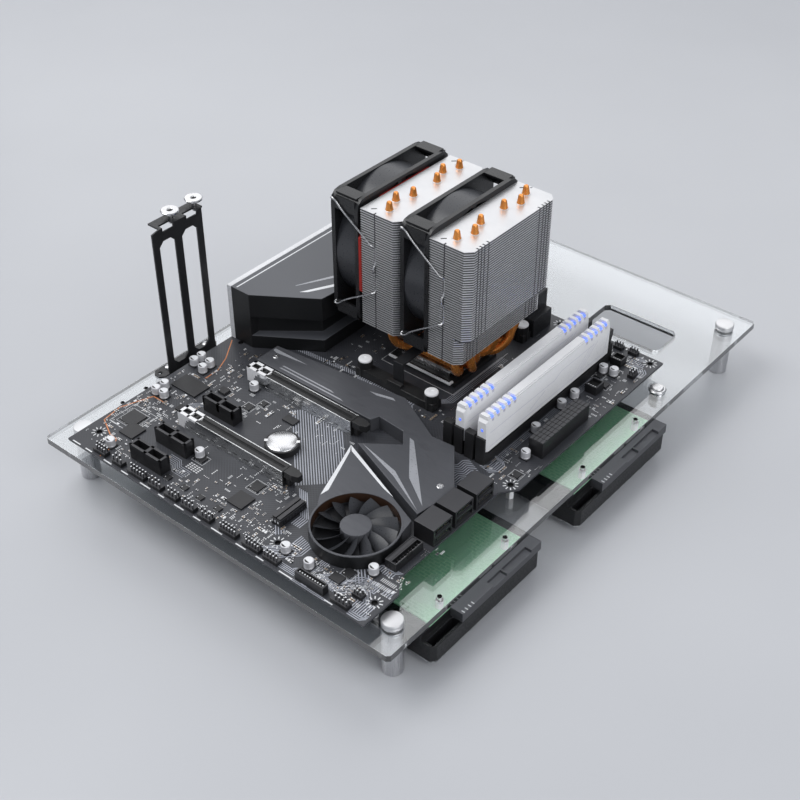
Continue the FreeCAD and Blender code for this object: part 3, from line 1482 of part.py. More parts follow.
def drive_port(k, x, y, z):
    """A drive's connector block on its shelf, with its two open mouths."""
    block = box(f"drive_port_block_{k}", (x, y, z),
                (s.drive_shelf_depth, s.drive_port_width, s.drive_port_height))
    mouth_x = x + s.drive_mouth_back
    mouth_z = z + s.drive_port_height - s.drive_mouth_depth
    reach = s.drive_shelf_depth - s.drive_mouth_back
    short = box(f"drive_short_mouth_{k}", (mouth_x, y + s.drive_mouth_first, mouth_z),
                (reach, s.drive_short_mouth, s.drive_mouth_depth))
    long_y = y + s.drive_mouth_first + s.drive_short_mouth + s.drive_mouth_wall
    long_one = box(f"drive_long_mouth_{k}", (mouth_x, long_y, mouth_z),
                   (reach, s.drive_long_mouth, s.drive_mouth_depth))
    return cut(f"drive_port_{k}", block, short, long_one)


def make_sockets():
    """Plugs' sockets along the board's edges, and the coin cell in its holder."""
    ports = []
    for k in range(3):
        y = s.sata_y + s.sata_pitch * k
        whole = box(f"sata_block_{k}", (s.sata_x, y, 0), (s.sata_depth, s.sata_width, s.sata_height))
        mouths = []
        for row in (0, 1):
            depth = s.sata_mouth_depth
            face = s.sata_x + s.sata_depth
            mouth_low = s.sata_wall + s.sata_row_pitch * row
            mouths.append(box(f"sata_mouth_{k}_{row}", (face - depth, y + s.sata_wall, mouth_low),
                              (depth, s.sata_width - s.sata_wall * 2, s.sata_mouth_height)))
        ports.append(cut(f"sata_{k}", whole, *mouths))
    node("sata_ports", group("sata_group", *ports))

    power = box("main_power_block", (s.main_power_x, s.main_power_y, 0),
                (s.main_power_width, s.main_power_length, s.main_power_height))
    low = s.main_power_height - s.power_pin_depth
    side_wall = (s.main_power_width - s.power_pin_pitch - s.power_pin_hole) / 2
    end_wall = (s.main_power_length - s.power_pin_pitch * 11 - s.power_pin_hole) / 2
    first_x, first_y = s.main_power_x + side_wall, s.main_power_y + end_wall
    pins = [
        box(f"power_hole_{row}_{k}",
            (first_x + s.power_pin_pitch * row, first_y + s.power_pin_pitch * k, low),
            (s.power_pin_hole, s.power_pin_hole, s.power_pin_depth))
        for row in (0, 1)
        for k in range(12)
    ]
    node("main_power_socket", cut("main_power_cut", power, *pins))

    blocks = [
        box("usb_block", (s.usb_x, s.usb_y, 0), (s.usb_width, s.usb_length, s.usb_height)),
        box("panel_header", (s.panel_header_x, s.panel_header_y, 0),
            (s.panel_header_length, s.panel_header_width, s.panel_header_height)),
        box("long_header", (s.long_header_x, s.long_header_y, 0),
            (s.long_header_width, s.long_header_length, s.panel_header_height)),
        box("processor_power", (s.cpu_power_x, s.cpu_power_y, 0),
            (s.cpu_power_width, s.cpu_power_length, s.main_power_height)),
    ]
    for k, (x, length) in enumerate(EDGE_HEADERS):
        blocks.append(box(f"edge_header_{k}", (x, s.panel_header_y, 0),
                          (length, s.panel_header_width, s.panel_header_height)))
    node("pin_headers", group("header_group", *blocks))

    cell_low = s.coin_top - s.coin_thick
    cell = bar("coin_cell_disc", (s.coin_x, s.coin_y, cell_low), s.coin_radius, s.coin_thick, 20)
    node("coin_cell", group("coin_group", cell))
    seat_radius = s.coin_radius + s.coin_fit
    holder = bar("coin_holder_disc", (s.coin_x, s.coin_y, 0), seat_radius + s.coin_holder_wall,
                 s.coin_holder_top, 20)
    seat = bar("coin_seat", (s.coin_x, s.coin_y, cell_low), seat_radius, s.coin_thick, 20)
    node("coin_cell_holder", cut("coin_holder_cut", holder, seat))


EDGE_HEADERS = [
    (21.5, 11), (39, 8.5), (53, 14.5), (71.5, 10.5), (85.5, 10.5), (100, 10.5), (114, 10.5), (132, 13),
    (150.5, 13), (167, 11), (218, 12),
]
CAPACITORS = [
    (222.8, 33), (192.1, 13.4), (173.6, 14.2), (54.8, 109.1), (4.6, 103.2), (4.8, 109.8), (14.8, 101.2),
    (14.2, 108.4), (8.5, 66), (8.6, 73.2), (15.4, 66.4), (76.2, 40.4), (26.5, 12.2), (229.7, 167),
    (219.9, 191.4), (218.6, 221.8), (219.1, 235.8),
]
CHIPS = [
    (9, 78, 22, 14), (20, 24, 12, 12), (118, 22, 12, 12), (206, 14, 8, 6), (30, 62, 9, 6), (90, 98, 10, 6),
]


def make_small_parts():
    """The tallest capacitors and the largest chips, at their places on the board."""
    cans = [
        bar(f"capacitor_{k}", (x, y, 0), s.capacitor_radius, s.capacitor_height, 8)
        for k, (x, y) in enumerate(CAPACITORS)
    ]
    node("capacitors", group("capacitor_group", *cans))
    chips = [
        box(f"chip_{k}", (x, y, 0), (width, length, s.chip_height))
        for k, (x, y, width, length) in enumerate(CHIPS)
    ]
    node("board_chips", group("chip_group", *chips))


def check_and_write():
    """Check every object, every cut and every piece, then write one file for each piece."""
    doc.recompute()
    for obj in doc.Objects:
        if "Invalid" in obj.State or "Error" in obj.State:
            raise RuntimeError(f"{obj.Name} failed: {obj.State}")
    for feature, before in cuts:
        if feature.Shape.Volume >= before.Shape.Volume:
            raise RuntimeError(f"{feature.Name} cut nothing")
    os.makedirs("parts", exist_ok=True)
    for obj in nodes:
        if obj.Shape.isNull() or not obj.Shape.isValid():
            raise RuntimeError(f"{obj.Label} has no valid shape")
    for obj in nodes:
        obj.Shape.exportStep(f"parts/{obj.Label}.step")
    print(len(nodes), "pieces written")


make_plate()
make_feet()
make_standoffs()
make_stand()
make_button()
make_board()
make_rear_cover()
make_ports()
make_heatsink()
make_chipset()
make_long_cover()
make_slots()
make_memory()
make_cooler()
make_fans()
make_socket()
make_drives()
make_sockets()
make_small_parts()
check_and_write()
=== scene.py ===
import json
import random
from math import cos, hypot, pi, radians, sin

import bmesh
import bpy
from mathutils import Matrix, Vector

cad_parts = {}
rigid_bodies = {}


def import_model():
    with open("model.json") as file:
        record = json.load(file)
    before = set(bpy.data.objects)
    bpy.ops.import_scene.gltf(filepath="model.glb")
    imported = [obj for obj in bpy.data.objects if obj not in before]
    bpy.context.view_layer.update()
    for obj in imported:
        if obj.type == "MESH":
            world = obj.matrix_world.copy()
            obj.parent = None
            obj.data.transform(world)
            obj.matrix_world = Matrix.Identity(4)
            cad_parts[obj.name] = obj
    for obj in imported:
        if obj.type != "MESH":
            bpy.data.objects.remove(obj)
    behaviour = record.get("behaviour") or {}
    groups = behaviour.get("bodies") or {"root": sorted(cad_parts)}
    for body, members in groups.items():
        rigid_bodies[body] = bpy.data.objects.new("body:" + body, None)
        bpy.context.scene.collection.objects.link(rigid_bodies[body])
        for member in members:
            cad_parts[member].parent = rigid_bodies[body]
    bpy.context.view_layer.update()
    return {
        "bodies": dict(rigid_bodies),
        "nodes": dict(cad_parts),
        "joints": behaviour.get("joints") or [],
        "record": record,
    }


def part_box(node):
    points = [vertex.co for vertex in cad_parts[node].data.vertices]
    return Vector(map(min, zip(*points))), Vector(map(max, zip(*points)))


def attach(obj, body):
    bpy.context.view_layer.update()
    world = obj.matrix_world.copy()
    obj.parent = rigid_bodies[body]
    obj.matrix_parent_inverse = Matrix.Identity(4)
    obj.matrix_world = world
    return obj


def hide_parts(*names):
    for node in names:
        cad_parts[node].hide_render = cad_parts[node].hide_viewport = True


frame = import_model()
NODES = frame["nodes"]

# Points are given in millimetres from the board's rear near corner, with the board's top at zero.
SHIFT = Vector((-123.15, -199.15, 45.6))
PLATE_TOP = -9.6
FIRST_SLOT_Y = 16.56
CARD_PITCH = 20.32
COOLER_Y = 217.8
FAN_Z = 80.0
TOWERS = {"rear": (93.0, 123.2), "front": (147.2, 177.4)}
FANS = {"rear": 69.2, "front": 125.2}
CLIP_GROOVE = 11.3


def at(x, y, z):
    """A point given in the board's millimetres, in the shared frame's metres."""
    return (Vector((x, y, z)) + SHIFT) / 1000


def polar(x, y, radius, angle):
    """A place at a radius and an angle round another place."""
    return x + radius * cos(angle), y + radius * sin(angle)


# Materials


def link(tree, node, values):
    """Set a node's inputs, or link those whose value is another node's output."""
    for name, value in values.items():
        if isinstance(value, bpy.types.NodeSocket):
            tree.links.new(value, node.inputs[name])
        else:
            node.inputs[name].default_value = value


def add(tree, kind, output, values=None, **settings):
    """Add a shader node and give one of its outputs."""
    node = tree.nodes.new("ShaderNode" + kind)
    for name, value in settings.items():
        setattr(node, name, value)
    link(tree, node, values or {})
    return node.outputs[output]


def new_material(name):
    mat = bpy.data.materials.new(name)
    mat.use_nodes = True
    return mat, mat.node_tree, mat.node_tree.nodes["Principled BSDF"]


def coordinates(tree, scale=(1, 1, 1), turn=0):
    """Object coordinates in metres, stretched, and turned about the upright axis."""
    values = {"Vector": add(tree, "TexCoord", "Object"), "Scale": scale, "Rotation": (0, 0, radians(turn))}
    return add(tree, "Mapping", "Vector", values)


def noise(tree, vector, scale, detail=3.0):
    values = {"Vector": vector, "Scale": scale, "Detail": detail, "Roughness": 0.55}
    return add(tree, "TexNoise", "Fac", values)


def spread(tree, value, low=0.0, high=1.0, start=0.3, end=0.7):
    """Map a value onto a range."""
    values = {"Value": value, "From Min": start, "From Max": end, "To Min": low, "To Max": high}
    return add(tree, "MapRange", "Result", values)


def blend_colours(tree, factor, first, second):
    """Mix two colours, each a triple of numbers or a node's output."""
    first, second = [(*colour, 1) if isinstance(colour, tuple) else colour for colour in (first, second)]
    return add(tree, "Mix", 2, {0: factor, 6: first, 7: second}, data_type="RGBA")


def bump(tree, shader, height, strength, distance):
    values = {"Height": height, "Strength": strength, "Distance": distance}
    link(tree, shader, {"Normal": add(tree, "Bump", "Normal", values)})


def finish(name, colour, metallic=0.0, rough=0.5, shade=0.85, grain=400.0, stretch=(1, 1, 1),
           relief=0.1, depth=0.00005, coat=0.0, rough_swing=0.12):
    """A surface whose colour, gloss and height all vary a little, as real ones do."""
    mat, tree, shader = new_material(name)
    vector = coordinates(tree, stretch)
    fine = noise(tree, vector, grain)
    broad = spread(tree, noise(tree, vector, grain / 12, 2))
    link(tree, shader, {
        "Base Color": blend_colours(tree, broad, tuple(c * shade for c in colour), colour),
        "Roughness": spread(tree, fine, max(0.02, rough - rough_swing), min(1, rough + rough_swing)),
        "Metallic": metallic,
        "Coat Weight": coat,
    })
    bump(tree, shader, fine, relief, depth)
    return mat


def acrylic():
    """Clear polished acrylic with a faint cool tint and fine marks."""
    mat, tree, shader = new_material("clear_acrylic")
    fine = noise(tree, coordinates(tree), 260, 4)
    link(tree, shader, {
        "Roughness": spread(tree, fine, 0.015, 0.05), "Base Color": (0.94, 0.965, 0.975, 1),
        "Transmission Weight": 1.0, "IOR": 1.49, "Coat Weight": 1.0, "Coat IOR": 1.7, "Coat Roughness": 0.02,
    })
    bump(tree, shader, fine, 0.01, 0.00001)
    return mat


def fins():
    """Bright folded aluminium with faint rolling marks."""
    mat, tree, shader = new_material("bright_fins")
    fine = noise(tree, coordinates(tree, (0.1, 1, 1)), 1500)
    broad = spread(tree, noise(tree, coordinates(tree), 35))
    link(tree, shader, {
        "Base Color": blend_colours(tree, broad, (0.66, 0.665, 0.68), (0.73, 0.73, 0.74)),
        "Roughness": spread(tree, fine, 0.34, 0.44), "Metallic": 0.75,
    })
    bump(tree, shader, fine, 0.03, 0.00001)
    return mat


def top_lit_moulding(name, top, side, rough):
    """A moulding whose upward faces are painted lighter than its sides: painted light on top, painted shade
    on the sides.
    """
    mat, tree, shader = new_material(name)
    normal = {"Vector": add(tree, "TexCoord", "Normal")}
    up = spread(tree, add(tree, "SeparateXYZ", "Z", normal), 0, 1, 0.6, 0.9)
    fine = noise(tree, coordinates(tree), 1600)
    dark = blend_colours(tree, spread(tree, fine), tuple(c * 0.8 for c in side), side)
    light = blend_colours(tree, spread(tree, fine), tuple(c * 0.9 for c in top), top)
    link(tree, shader, {
        "Base Color": blend_colours(tree, up, dark, light),
        "Roughness": spread(tree, fine, rough - 0.06, rough + 0.08),
    })
    bump(tree, shader, fine, 0.15, 0.00003)
    return mat


def board_surface():
    """Dark lacquer over laminate: a faint weave, and faint straight tracks in two slanting directions."""
    mat, tree, shader = new_material("board_lacquer")
    vector = coordinates(tree)
    ground = spread(tree, noise(tree, vector, 60))
    tint = blend_colours(tree, ground, (0.036, 0.0375, 0.044), (0.046, 0.048, 0.056))
    tracks = []
    for angle, area_scale, colour in ((45, 21, (0.075, 0.078, 0.09)), (-45, 27, (0.07, 0.073, 0.085))):
        values = {"Vector": coordinates(tree, turn=angle), "Scale": 190, "Distortion": 0.0}
        lines = spread(tree, add(tree, "TexWave", "Fac", values, bands_direction="X"), 0, 1, 0.6, 0.75)
        areas = spread(tree, noise(tree, vector, area_scale, 1), 0, 0.5, 0.42, 0.62)
        tracks.append(add(tree, "Math", "Value", {0: lines, 1: areas}, operation="MULTIPLY"))
        tint = blend_colours(tree, tracks[-1], tint, colour)
    fine = noise(tree, vector, 1800)
    link(tree, shader, {"Base Color": tint, "Roughness": spread(tree, fine, 0.32, 0.48)})
    bump(tree, shader, tracks[0], 0.15, 0.00003)
    return mat


def green_board():
    """Pale green lacquer with fine straight tracks and darker copper areas."""
    mat, tree, shader = new_material("green_lacquer")
    vector = coordinates(tree)
    bricks = add(tree, "TexBrick", "Color", {
        "Vector": vector, "Scale": 110, "Mortar Size": 0.05, "Color1": (0.3, 0.66, 0.39, 1),
        "Color2": (0.33, 0.7, 0.42, 1), "Mortar": (0.42, 0.78, 0.5, 1),
    })
    areas = spread(tree, noise(tree, vector, 45, 2), 0, 1, 0.5, 0.56)
    link(tree, shader, {
        "Base Color": blend_colours(tree, areas, bricks, (0.38, 0.72, 0.47)),
        "Roughness": spread(tree, noise(tree, vector, 900), 0.28, 0.42),
    })
    bump(tree, shader, bricks.node.outputs["Fac"], 0.1, 0.00003)
    return mat


def glow():
    """Cool light behind a white cover."""
    mat, tree, shader = new_material("cool_light")
    fac = spread(tree, noise(tree, coordinates(tree), 300))
    tint = blend_colours(tree, fac, (0.05, 0.12, 0.8), (0.16, 0.26, 0.95))
    link(tree, shader, {
        "Base Color": tint, "Emission Color": tint, "Emission Strength": 1.3, "Roughness": 0.3,
    })
    return mat


MATS = {
    "foot": finish("turned_feet", (0.8, 0.8, 0.81), 0.7, 0.42, 0.93, 900, (1, 1, 0.2), 0.1, rough_swing=0.05),
    "stand": finish("satin_black_sheet", (0.016, 0.016, 0.018), 0.0, 0.42, 0.8, 700, relief=0.15,
                    depth=0.00003, coat=0.1),
    "steel": finish("bright_steel", (0.74, 0.74, 0.75), 1.0, 0.26, 0.9, 800),
    "button": finish("satin_steel", (0.7, 0.7, 0.71), 1.0, 0.32, 0.9, 800),
    "trim": finish("glossy_white", (0.8, 0.81, 0.83), 0.0, 0.25, 0.95, 500, coat=0.3),
    "port": finish("plain_steel", (0.5, 0.5, 0.51), 1.0, 0.38, 0.85, 500),
    "dark_sink": finish("dark_heatsink", (0.035, 0.036, 0.04), 0.4, 0.42, 0.8, 600),
    "grey_cover": finish("brushed_grey_cover", (0.1, 0.103, 0.115), 0.35, 0.42, 0.9, 500, (0.15, 1, 1), 0.12),
    "fan": finish("fan_black_moulding", (0.0125, 0.013, 0.0145), 0.0, 0.3, 0.85, 1200, relief=0.03,
                  depth=0.00001, rough_swing=0.04),
    "blade": finish("fan_grey_blade", (0.042, 0.044, 0.05), 0.0, 0.3, 0.93, 900, rough_swing=0.04),
    "gasket": finish("red_gasket", (0.42, 0.018, 0.012), 0.0, 0.7, 0.8, 1500),
    "copper": finish("copper_pipe", (0.88, 0.34, 0.08), 0.7, 0.26, 0.97, 300, (1, 1, 0.3), 0.01,
                     rough_swing=0.03),
    "base": finish("machined_base", (0.6, 0.6, 0.61), 1.0, 0.34, 0.85, 700, (0.2, 1, 1)),
    "wire": finish("bright_wire", (0.62, 0.62, 0.63), 1.0, 0.24, 0.9, 900),
    "lid": finish("plated_lid", (0.68, 0.68, 0.69), 1.0, 0.2, 0.92, 700),
    "socket": finish("socket_moulding", (0.017, 0.017, 0.018), 0.0, 0.45, 0.8, 1400, (1, 1, 1), 0.2, 0.00004),
    "white": finish("white_moulding", (0.9, 0.9, 0.915), 0.0, 0.35, 0.97, 1200, coat=0.1),
    "module": finish("module_board", (0.02, 0.03, 0.025), 0.0, 0.4, 0.8, 800),
    "shield": finish("bright_shield", (0.62, 0.63, 0.64), 1.0, 0.24, 0.8, 350, (0.3, 1, 1)),
    "drive": finish("cast_black", (0.016, 0.0165, 0.018), 0.15, 0.44, 0.75, 900, (1, 1, 1), 0.35, 0.00006),
    "drive_lid": finish("drive_steel_lid", (0.56, 0.57, 0.58), 1.0, 0.3, 0.9, 500, (1, 0.2, 1)),
    "cell": finish("cell_steel", (0.74, 0.74, 0.75), 0.9, 0.22, 0.95, 900, relief=0.02, rough_swing=0.03),
    "can": finish("can_sleeve", (0.72, 0.72, 0.745), 0.25, 0.36, 0.93, 900, rough_swing=0.06),
    "chip": finish("chip_black", (0.02, 0.02, 0.022), 0.0, 0.4, 0.85, 2500, (1, 1, 1), 0.3, 0.00003),
    "gold": finish("plated_gold", (0.83, 0.6, 0.25), 1.0, 0.28, 0.85, 900),
    "solder": finish("solder_tin", (0.78, 0.78, 0.79), 1.0, 0.3, 0.85, 1500),
    "ceramic": finish("ceramic_tan", (0.32, 0.24, 0.17), 0.0, 0.45, 0.8, 1500),
    "mark": finish("white_print", (0.72, 0.73, 0.74), 0.0, 0.5, 0.9, 1500),
    "void": finish("deep_shadow", (0.004, 0.004, 0.0045), 0.0, 0.7, 0.8, 900),
    # Painted light: a warm glow painted on the fan ring's far inside wall.
    "warm": finish("painted_warm_light", (0.06, 0.03, 0.018), 0.2, 0.35, 0.4, 60),
    "track": finish("light_track", (0.46, 0.48, 0.54), 0.0, 0.4, 0.85, 700),
    "gap": finish("fin_gap_shade", (0.07, 0.07, 0.075), 0.0, 0.6, 0.85, 900),
    "orange": finish("orange_track", (0.66, 0.24, 0.09), 0.0, 0.45, 0.85, 700),
    "shard": finish("silver_inlay", (0.42, 0.43, 0.46), 0.3, 0.35, 0.9, 700),
    "bright": finish("bright_inlay", (0.82, 0.83, 0.85), 0.0, 0.3, 0.95, 700),
    # Painted shade: the covers' white as it looks in shade, for the notches and the lines on their sides.
    "white_in_shade": finish("shaded_white", (0.62, 0.62, 0.72), 0.0, 0.4, 0.92, 900),
    "dark_pin": finish("dark_pin", (0.12, 0.12, 0.13), 0.9, 0.3, 0.85, 900),
    "post": finish("turned_posts", (0.62, 0.62, 0.635), 1.0, 0.34, 0.9, 500, (6, 6, 0.1), 0.2),
    # Painted light: these mouldings' upward faces are painted lighter than their sides.
    "cover": top_lit_moulding("cover_moulding", (0.1, 0.105, 0.118), (0.008, 0.0085, 0.0095), 0.4),
    "plug": top_lit_moulding("socket_tops", (0.045, 0.045, 0.05), (0.012, 0.012, 0.0135), 0.42),
    "slate": top_lit_moulding("grey_moulding", (0.13, 0.133, 0.145), (0.07, 0.072, 0.08), 0.4),
    "acrylic": acrylic(),
    "fins": fins(),
    "board": board_surface(),
    "green": green_board(),
    "glow": glow(),
}
NODE_LOOKS = {
    "acrylic": "acrylic_plate",
    "foot": "foot_caps foot_posts board_standoffs",
    "stand": "slot_bracket_stand",
    "steel": "bracket_thumbscrews stand_screws m2_cover_screws",
    "button": "power_button_body power_button_cap",
    "board": "circuit_board",
    "cover": "io_cover",
    "trim": "io_cover_trim",
    "port": "rear_ports",
    "dark_sink": "supply_heatsink chipset_heatsink cooler_clip_bar",
    "grey_cover": "chipset_cover m2_cover",
    "fan": "chipset_fan_rotor rear_fan_frame front_fan_frame",
    "blade": "rear_fan_rotor front_fan_rotor",
    "socket": "short_slots long_slots upper_slot_latch lower_slot_latch memory_slots memory_latch_1 "
              "memory_latch_2 memory_latch_3 memory_latch_4 cpu_socket cooler_brackets main_power_socket "
              "pin_headers coin_cell_holder",
    "shield": "slot_shields",
    "module": "memory_boards",
    "white": "memory_spreaders bracket_screw_caps drive_spacers",
    "fins": "rear_fin_stack front_fin_stack",
    "copper": "heat_pipes",
    "base": "cooler_base",
    "wire": "fan_clips",
    "gasket": "fan_gasket",
    "lid": "processor",
    "bright": "socket_lever",
    "drive": "drive_housings",
    "drive_lid": "drive_lids",
    "green": "drive_circuit_boards",
    "slate": "drive_ports",
    "plug": "sata_ports",
    "cell": "coin_cell",
    "can": "capacitors",
    "chip": "board_chips",
}
for look, names in NODE_LOOKS.items():
    for name in names.split():
        NODES[name].data.materials.clear()
        NODES[name].data.materials.append(MATS[look])


# Mesh helpers

SPINS = {"X": Matrix.Rotation(radians(90), 3, "Y"), "Z": Matrix.Identity(3)}


def show(name, data):
    """Put an object into the scene."""
    obj = bpy.data.objects.new(name, data)
    bpy.context.scene.collection.objects.link(obj)
    return obj


def round_edges(obj, width, angle):
    """Ease an object's sharp edges with a modifier, its width in millimetres."""
    edge = obj.modifiers.new("eased", "BEVEL")
    edge.width = width / 1000
    edge.segments = 2
    edge.limit_method = "ANGLE"
    edge.angle_limit = radians(angle)


def settle(obj, body, replaces):
    """Let a piece ride on its body, and hide the CAD nodes that it replaces."""
    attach(obj, body)
    if replaces:
        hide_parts(*replaces)


class Parts:
    """Small pieces gathered into one mesh, each with a material of its own."""

    def __init__(self, name, body="bench"):
        self.name, self.body, self.looks = name, body, []
        self.mesh = bmesh.new()

    def claim(self, faces, look, smooth=False):
        if look not in self.looks:
            self.looks.append(look)
        for face in faces:
            face.material_index = self.looks.index(look)
            face.smooth = smooth

    def corners(self, points):
        return [self.mesh.verts.new(at(*point)) for point in points]

    def face(self, points, look):
        """One flat face through points in board millimetres."""
        self.claim([self.mesh.faces.new(self.corners(points))], look)

    def box(self, low, high, look, turn=0.0):
        """A block between two corners, in board millimetres, turned about its own middle."""
        a, b = at(*low), at(*high)
        matrix = Matrix.Translation((a + b) / 2) @ Matrix.Rotation(turn, 4, "Z")
        made = bmesh.ops.create_cube(self.mesh, size=1, matrix=matrix @ Matrix.Diagonal((*(b - a), 1)))
        self.claim({f for v in made["verts"] for f in v.link_faces}, look)

    def blocks(self, x, y, rows):
        """Blocks about a place: each has its X, Y and Z ranges and its look."""
        for x0, x1, y0, y1, z0, z1, look in rows:
            self.box((x + x0, y + y0, z0), (x + x1, y + y1, z1), look)

    def turned(self, centre, profile, look, segments=32, axis="Z", looks=None):
        """A turned piece: its profile is a list of (radius, height) in millimetres along the axis."""
        rings = []
        for radius, height in profile:
            angles = [2 * pi * k / segments for k in range(segments if radius else 1)]
            points = [Vector((*polar(0, 0, radius, a), height)) / 1000 for a in angles]
            rings.append([self.mesh.verts.new(at(*centre) + SPINS[axis] @ point) for point in points])
        for n, (a, b) in enumerate(zip(rings, rings[1:])):
            faces = []
            for k in range(segments):
                m = (k + 1) % segments
                if len(a) == 1:
                    quad = (a[0], b[m], b[k])
                elif len(b) == 1:
                    quad = (a[k], a[m], b[0])
                else:
                    quad = (a[k], a[m], b[m], b[k])
                faces.append(self.mesh.faces.new(quad))
            self.claim(faces, looks[n] if looks else look, True)

    def plate(self, outline, low, high, look):
        """A flat piece of any outline, given as X, Y corners, between two heights."""
        bottom = self.corners([(x, y, low) for x, y in outline])
        top = self.corners([(x, y, high) for x, y in outline])
        quads = [(bottom[k - 1], bottom[k], top[k], top[k - 1]) for k in range(len(outline))]
        self.claim([self.mesh.faces.new(face) for face in (*quads, top, bottom[::-1])], look)

    def grid(self, rows, look, smooth=True, closed=False, joined=False):
        """A sheet through rows of points, with each row closed, and the last joined to the first."""
        verts = [self.corners(row) for row in rows]
        faces = []
        for a, b in zip(verts, verts[1:] + verts[:1] if joined else verts[1:]):
            for k in range(len(a) if closed else len(a) - 1):
                m = (k + 1) % len(a)
                faces.append(self.mesh.faces.new((a[k], a[m], b[m], b[k])))
        self.claim(faces, look, smooth)

    def done(self, slot, bevel=0.0, angle=40, replaces=(), tidy=True):
        """Close the mesh, ease its edges and let it ride on its body."""
        if tidy:
            bmesh.ops.recalc_face_normals(self.mesh, faces=self.mesh.faces)
        data = bpy.data.meshes.new(self.name)
        self.mesh.to_mesh(data)
        self.mesh.free()
        for look in self.looks:
            data.materials.append(MATS[look])
        data.set_sharp_from_angle(angle=radians(angle))
        obj = show(self.name, data)
        if bevel:
            round_edges(obj, bevel, 40)
        settle(obj, self.body, replaces)


def wire(name, lines, radius, look, replaces):
    """Round wires or pipes along smooth lines given in board millimetres."""
    data = bpy.data.curves.new(name, "CURVE")
    data.dimensions = "3D"
    data.bevel_depth = radius / 1000
    data.bevel_resolution = 5
    data.use_fill_caps = True
    for points in lines:
        spline = data.splines.new("NURBS")
        spline.points.add(len(points) - 1)
        for point, place in zip(spline.points, points):
            point.co = (*at(*place), 1)
        spline.order_u = 3
        spline.use_endpoint_u = True
        spline.resolution_u = 8
    rough = show(name + "_line", data)
    bpy.context.view_layer.update()
    mesh = bpy.data.meshes.new_from_object(rough.evaluated_get(bpy.context.evaluated_depsgraph_get()))
    bpy.data.objects.remove(rough)
    mesh.name = name
    mesh.materials.clear()
    mesh.materials.append(MATS[look])
    for face in mesh.polygons:
        face.use_smooth = True
    settle(show(name, mesh), "bench", replaces)


# Cooler


def fin_outline(x0, x1, y0, y1, grooved):
    """One fin's outline with cut corners, a clip groove each side and grooves near the open face's ends."""
    cut, deep, half = 4.5, 1.9, 0.55
    hold = x0 + CLIP_GROOVE
    points = [(x0, y0), (hold - half, y0), (hold - half, y0 + deep), (hold + half, y0 + deep),
              (hold + half, y0), (x1 - cut, y0), (x1, y0 + cut)]
    if grooved:
        offsets = (8.5, 11.5, 14.5, 18.5)
        for y in [y0 + offset for offset in offsets] + [y1 - offset for offset in reversed(offsets)]:
            points += [(x1, y - half), (x1 - deep, y - half), (x1 - deep, y + half), (x1, y + half)]
    points += [(x1, y1 - cut), (x1 - cut, y1), (hold + half, y1), (hold + half, y1 - deep),
               (hold - half, y1 - deep), (hold - half, y1), (x0, y1)]
    return points


def make_towers():
    """Thin fins, a dark core that shades the gaps between them, and small dark boxes of painted shade on each
    top fin.
    """
    low, high, count = 36.9, 121.0, 50
    fin, top_fin = 0.66, 0.5
    step_high, step_deep = 18.8, 5.7
    inset, cut = 0.45, 4.8
    y0, y1 = COOLER_Y - 44.4, COOLER_Y + 44.4
    pitch = (high - low - top_fin) / (count - 1)
    rivet = [(1.0, 0), (0.9, 0.4), (0.5, 0.8), (0, 0.9)]
    for name, (x0, x1) in TOWERS.items():
        stepped = name == "front"
        parts = Parts(name + "_tower_fins")
        for k in range(count):
            z = low + pitch * k
            far = x1 - step_deep if stepped and z < low + step_high else x1
            outline = fin_outline(x0, far, y0, y1, stepped)
            parts.plate(outline, z, z + (top_fin if k == count - 1 else fin), "fins")
        # Small dark boxes of painted shade on the top fin.
        for side in (-1, 1):
            y = COOLER_Y + side * 39.6
            parts.box((x0 + 5.2, y - 0.5, high - 0.3), (x0 + 8.8, y + 0.5, high + 0.02), "void", 0.75)
        parts.turned((x0 + 11.5, COOLER_Y + (-36.2 if stepped else 36.2), high), rivet, "fins", 16)
        cores = [(low, high - 0.6, x1)]
        if stepped:
            cores = [(low, low + step_high, x1 - step_deep), (low + step_high + 0.1, high - 0.6, x1)]
        for core_low, core_high, far in cores:
            parts.plate([(x0 + inset, y0 + inset), (far - cut, y0 + inset), (far - inset, y0 + cut),
                         (far - inset, y1 - cut), (far - cut, y1 - inset), (x0 + inset, y1 - inset)],
                        core_low, core_high, "gap")
        parts.done("fin_aluminium", replaces=(name + "_fin_stack",))


def make_pipes():
    """Six bent pipes, each the same half run at both ends, and their tips above the fins."""
    run = [(0, 1, 120.6), (0, 1, 60), (0, 1, 30), (1, 0.7, 18), (7, 0.05, 11.6), (16, 0, 11.6)]
    tip = [(2.6, 0), (2.55, 0.7), (2.35, 1.3), (1.85, 4.7), (1.65, 5.5), (1.25, 5.95), (0, 6.08)]
    collar = [(2.6, 0.0), (3.1, 0.08), (3.05, 0.3), (2.55, 0.45)]
    lines, tips = [], Parts("pipe_tips")
    for side in (-1, 1):
        for k in range(3):
            tower_y = COOLER_Y + side * (11.7 + 11.5 * k)
            base_y = COOLER_Y + side * 6.6 * (k + 0.5)
            shift = 4.4 if k == 1 else 0
            ends = [(108.1 - shift, 1, run), (160.3 + shift, -1, run[::-1])]
            lines.append([(x + way * dx, base_y + (tower_y - base_y) * share, z)
                          for x, way, half in ends for dx, share, z in half])
            for x, _, _ in ends:
                tips.turned((x, tower_y, 120.9), tip, "copper", 28)
                tips.turned((x, tower_y, 120.9), collar, "fins", 28)
    wire("copper_pipes", lines, 2.95, "copper", ("heat_pipes",))
    tips.done("pipe_copper")


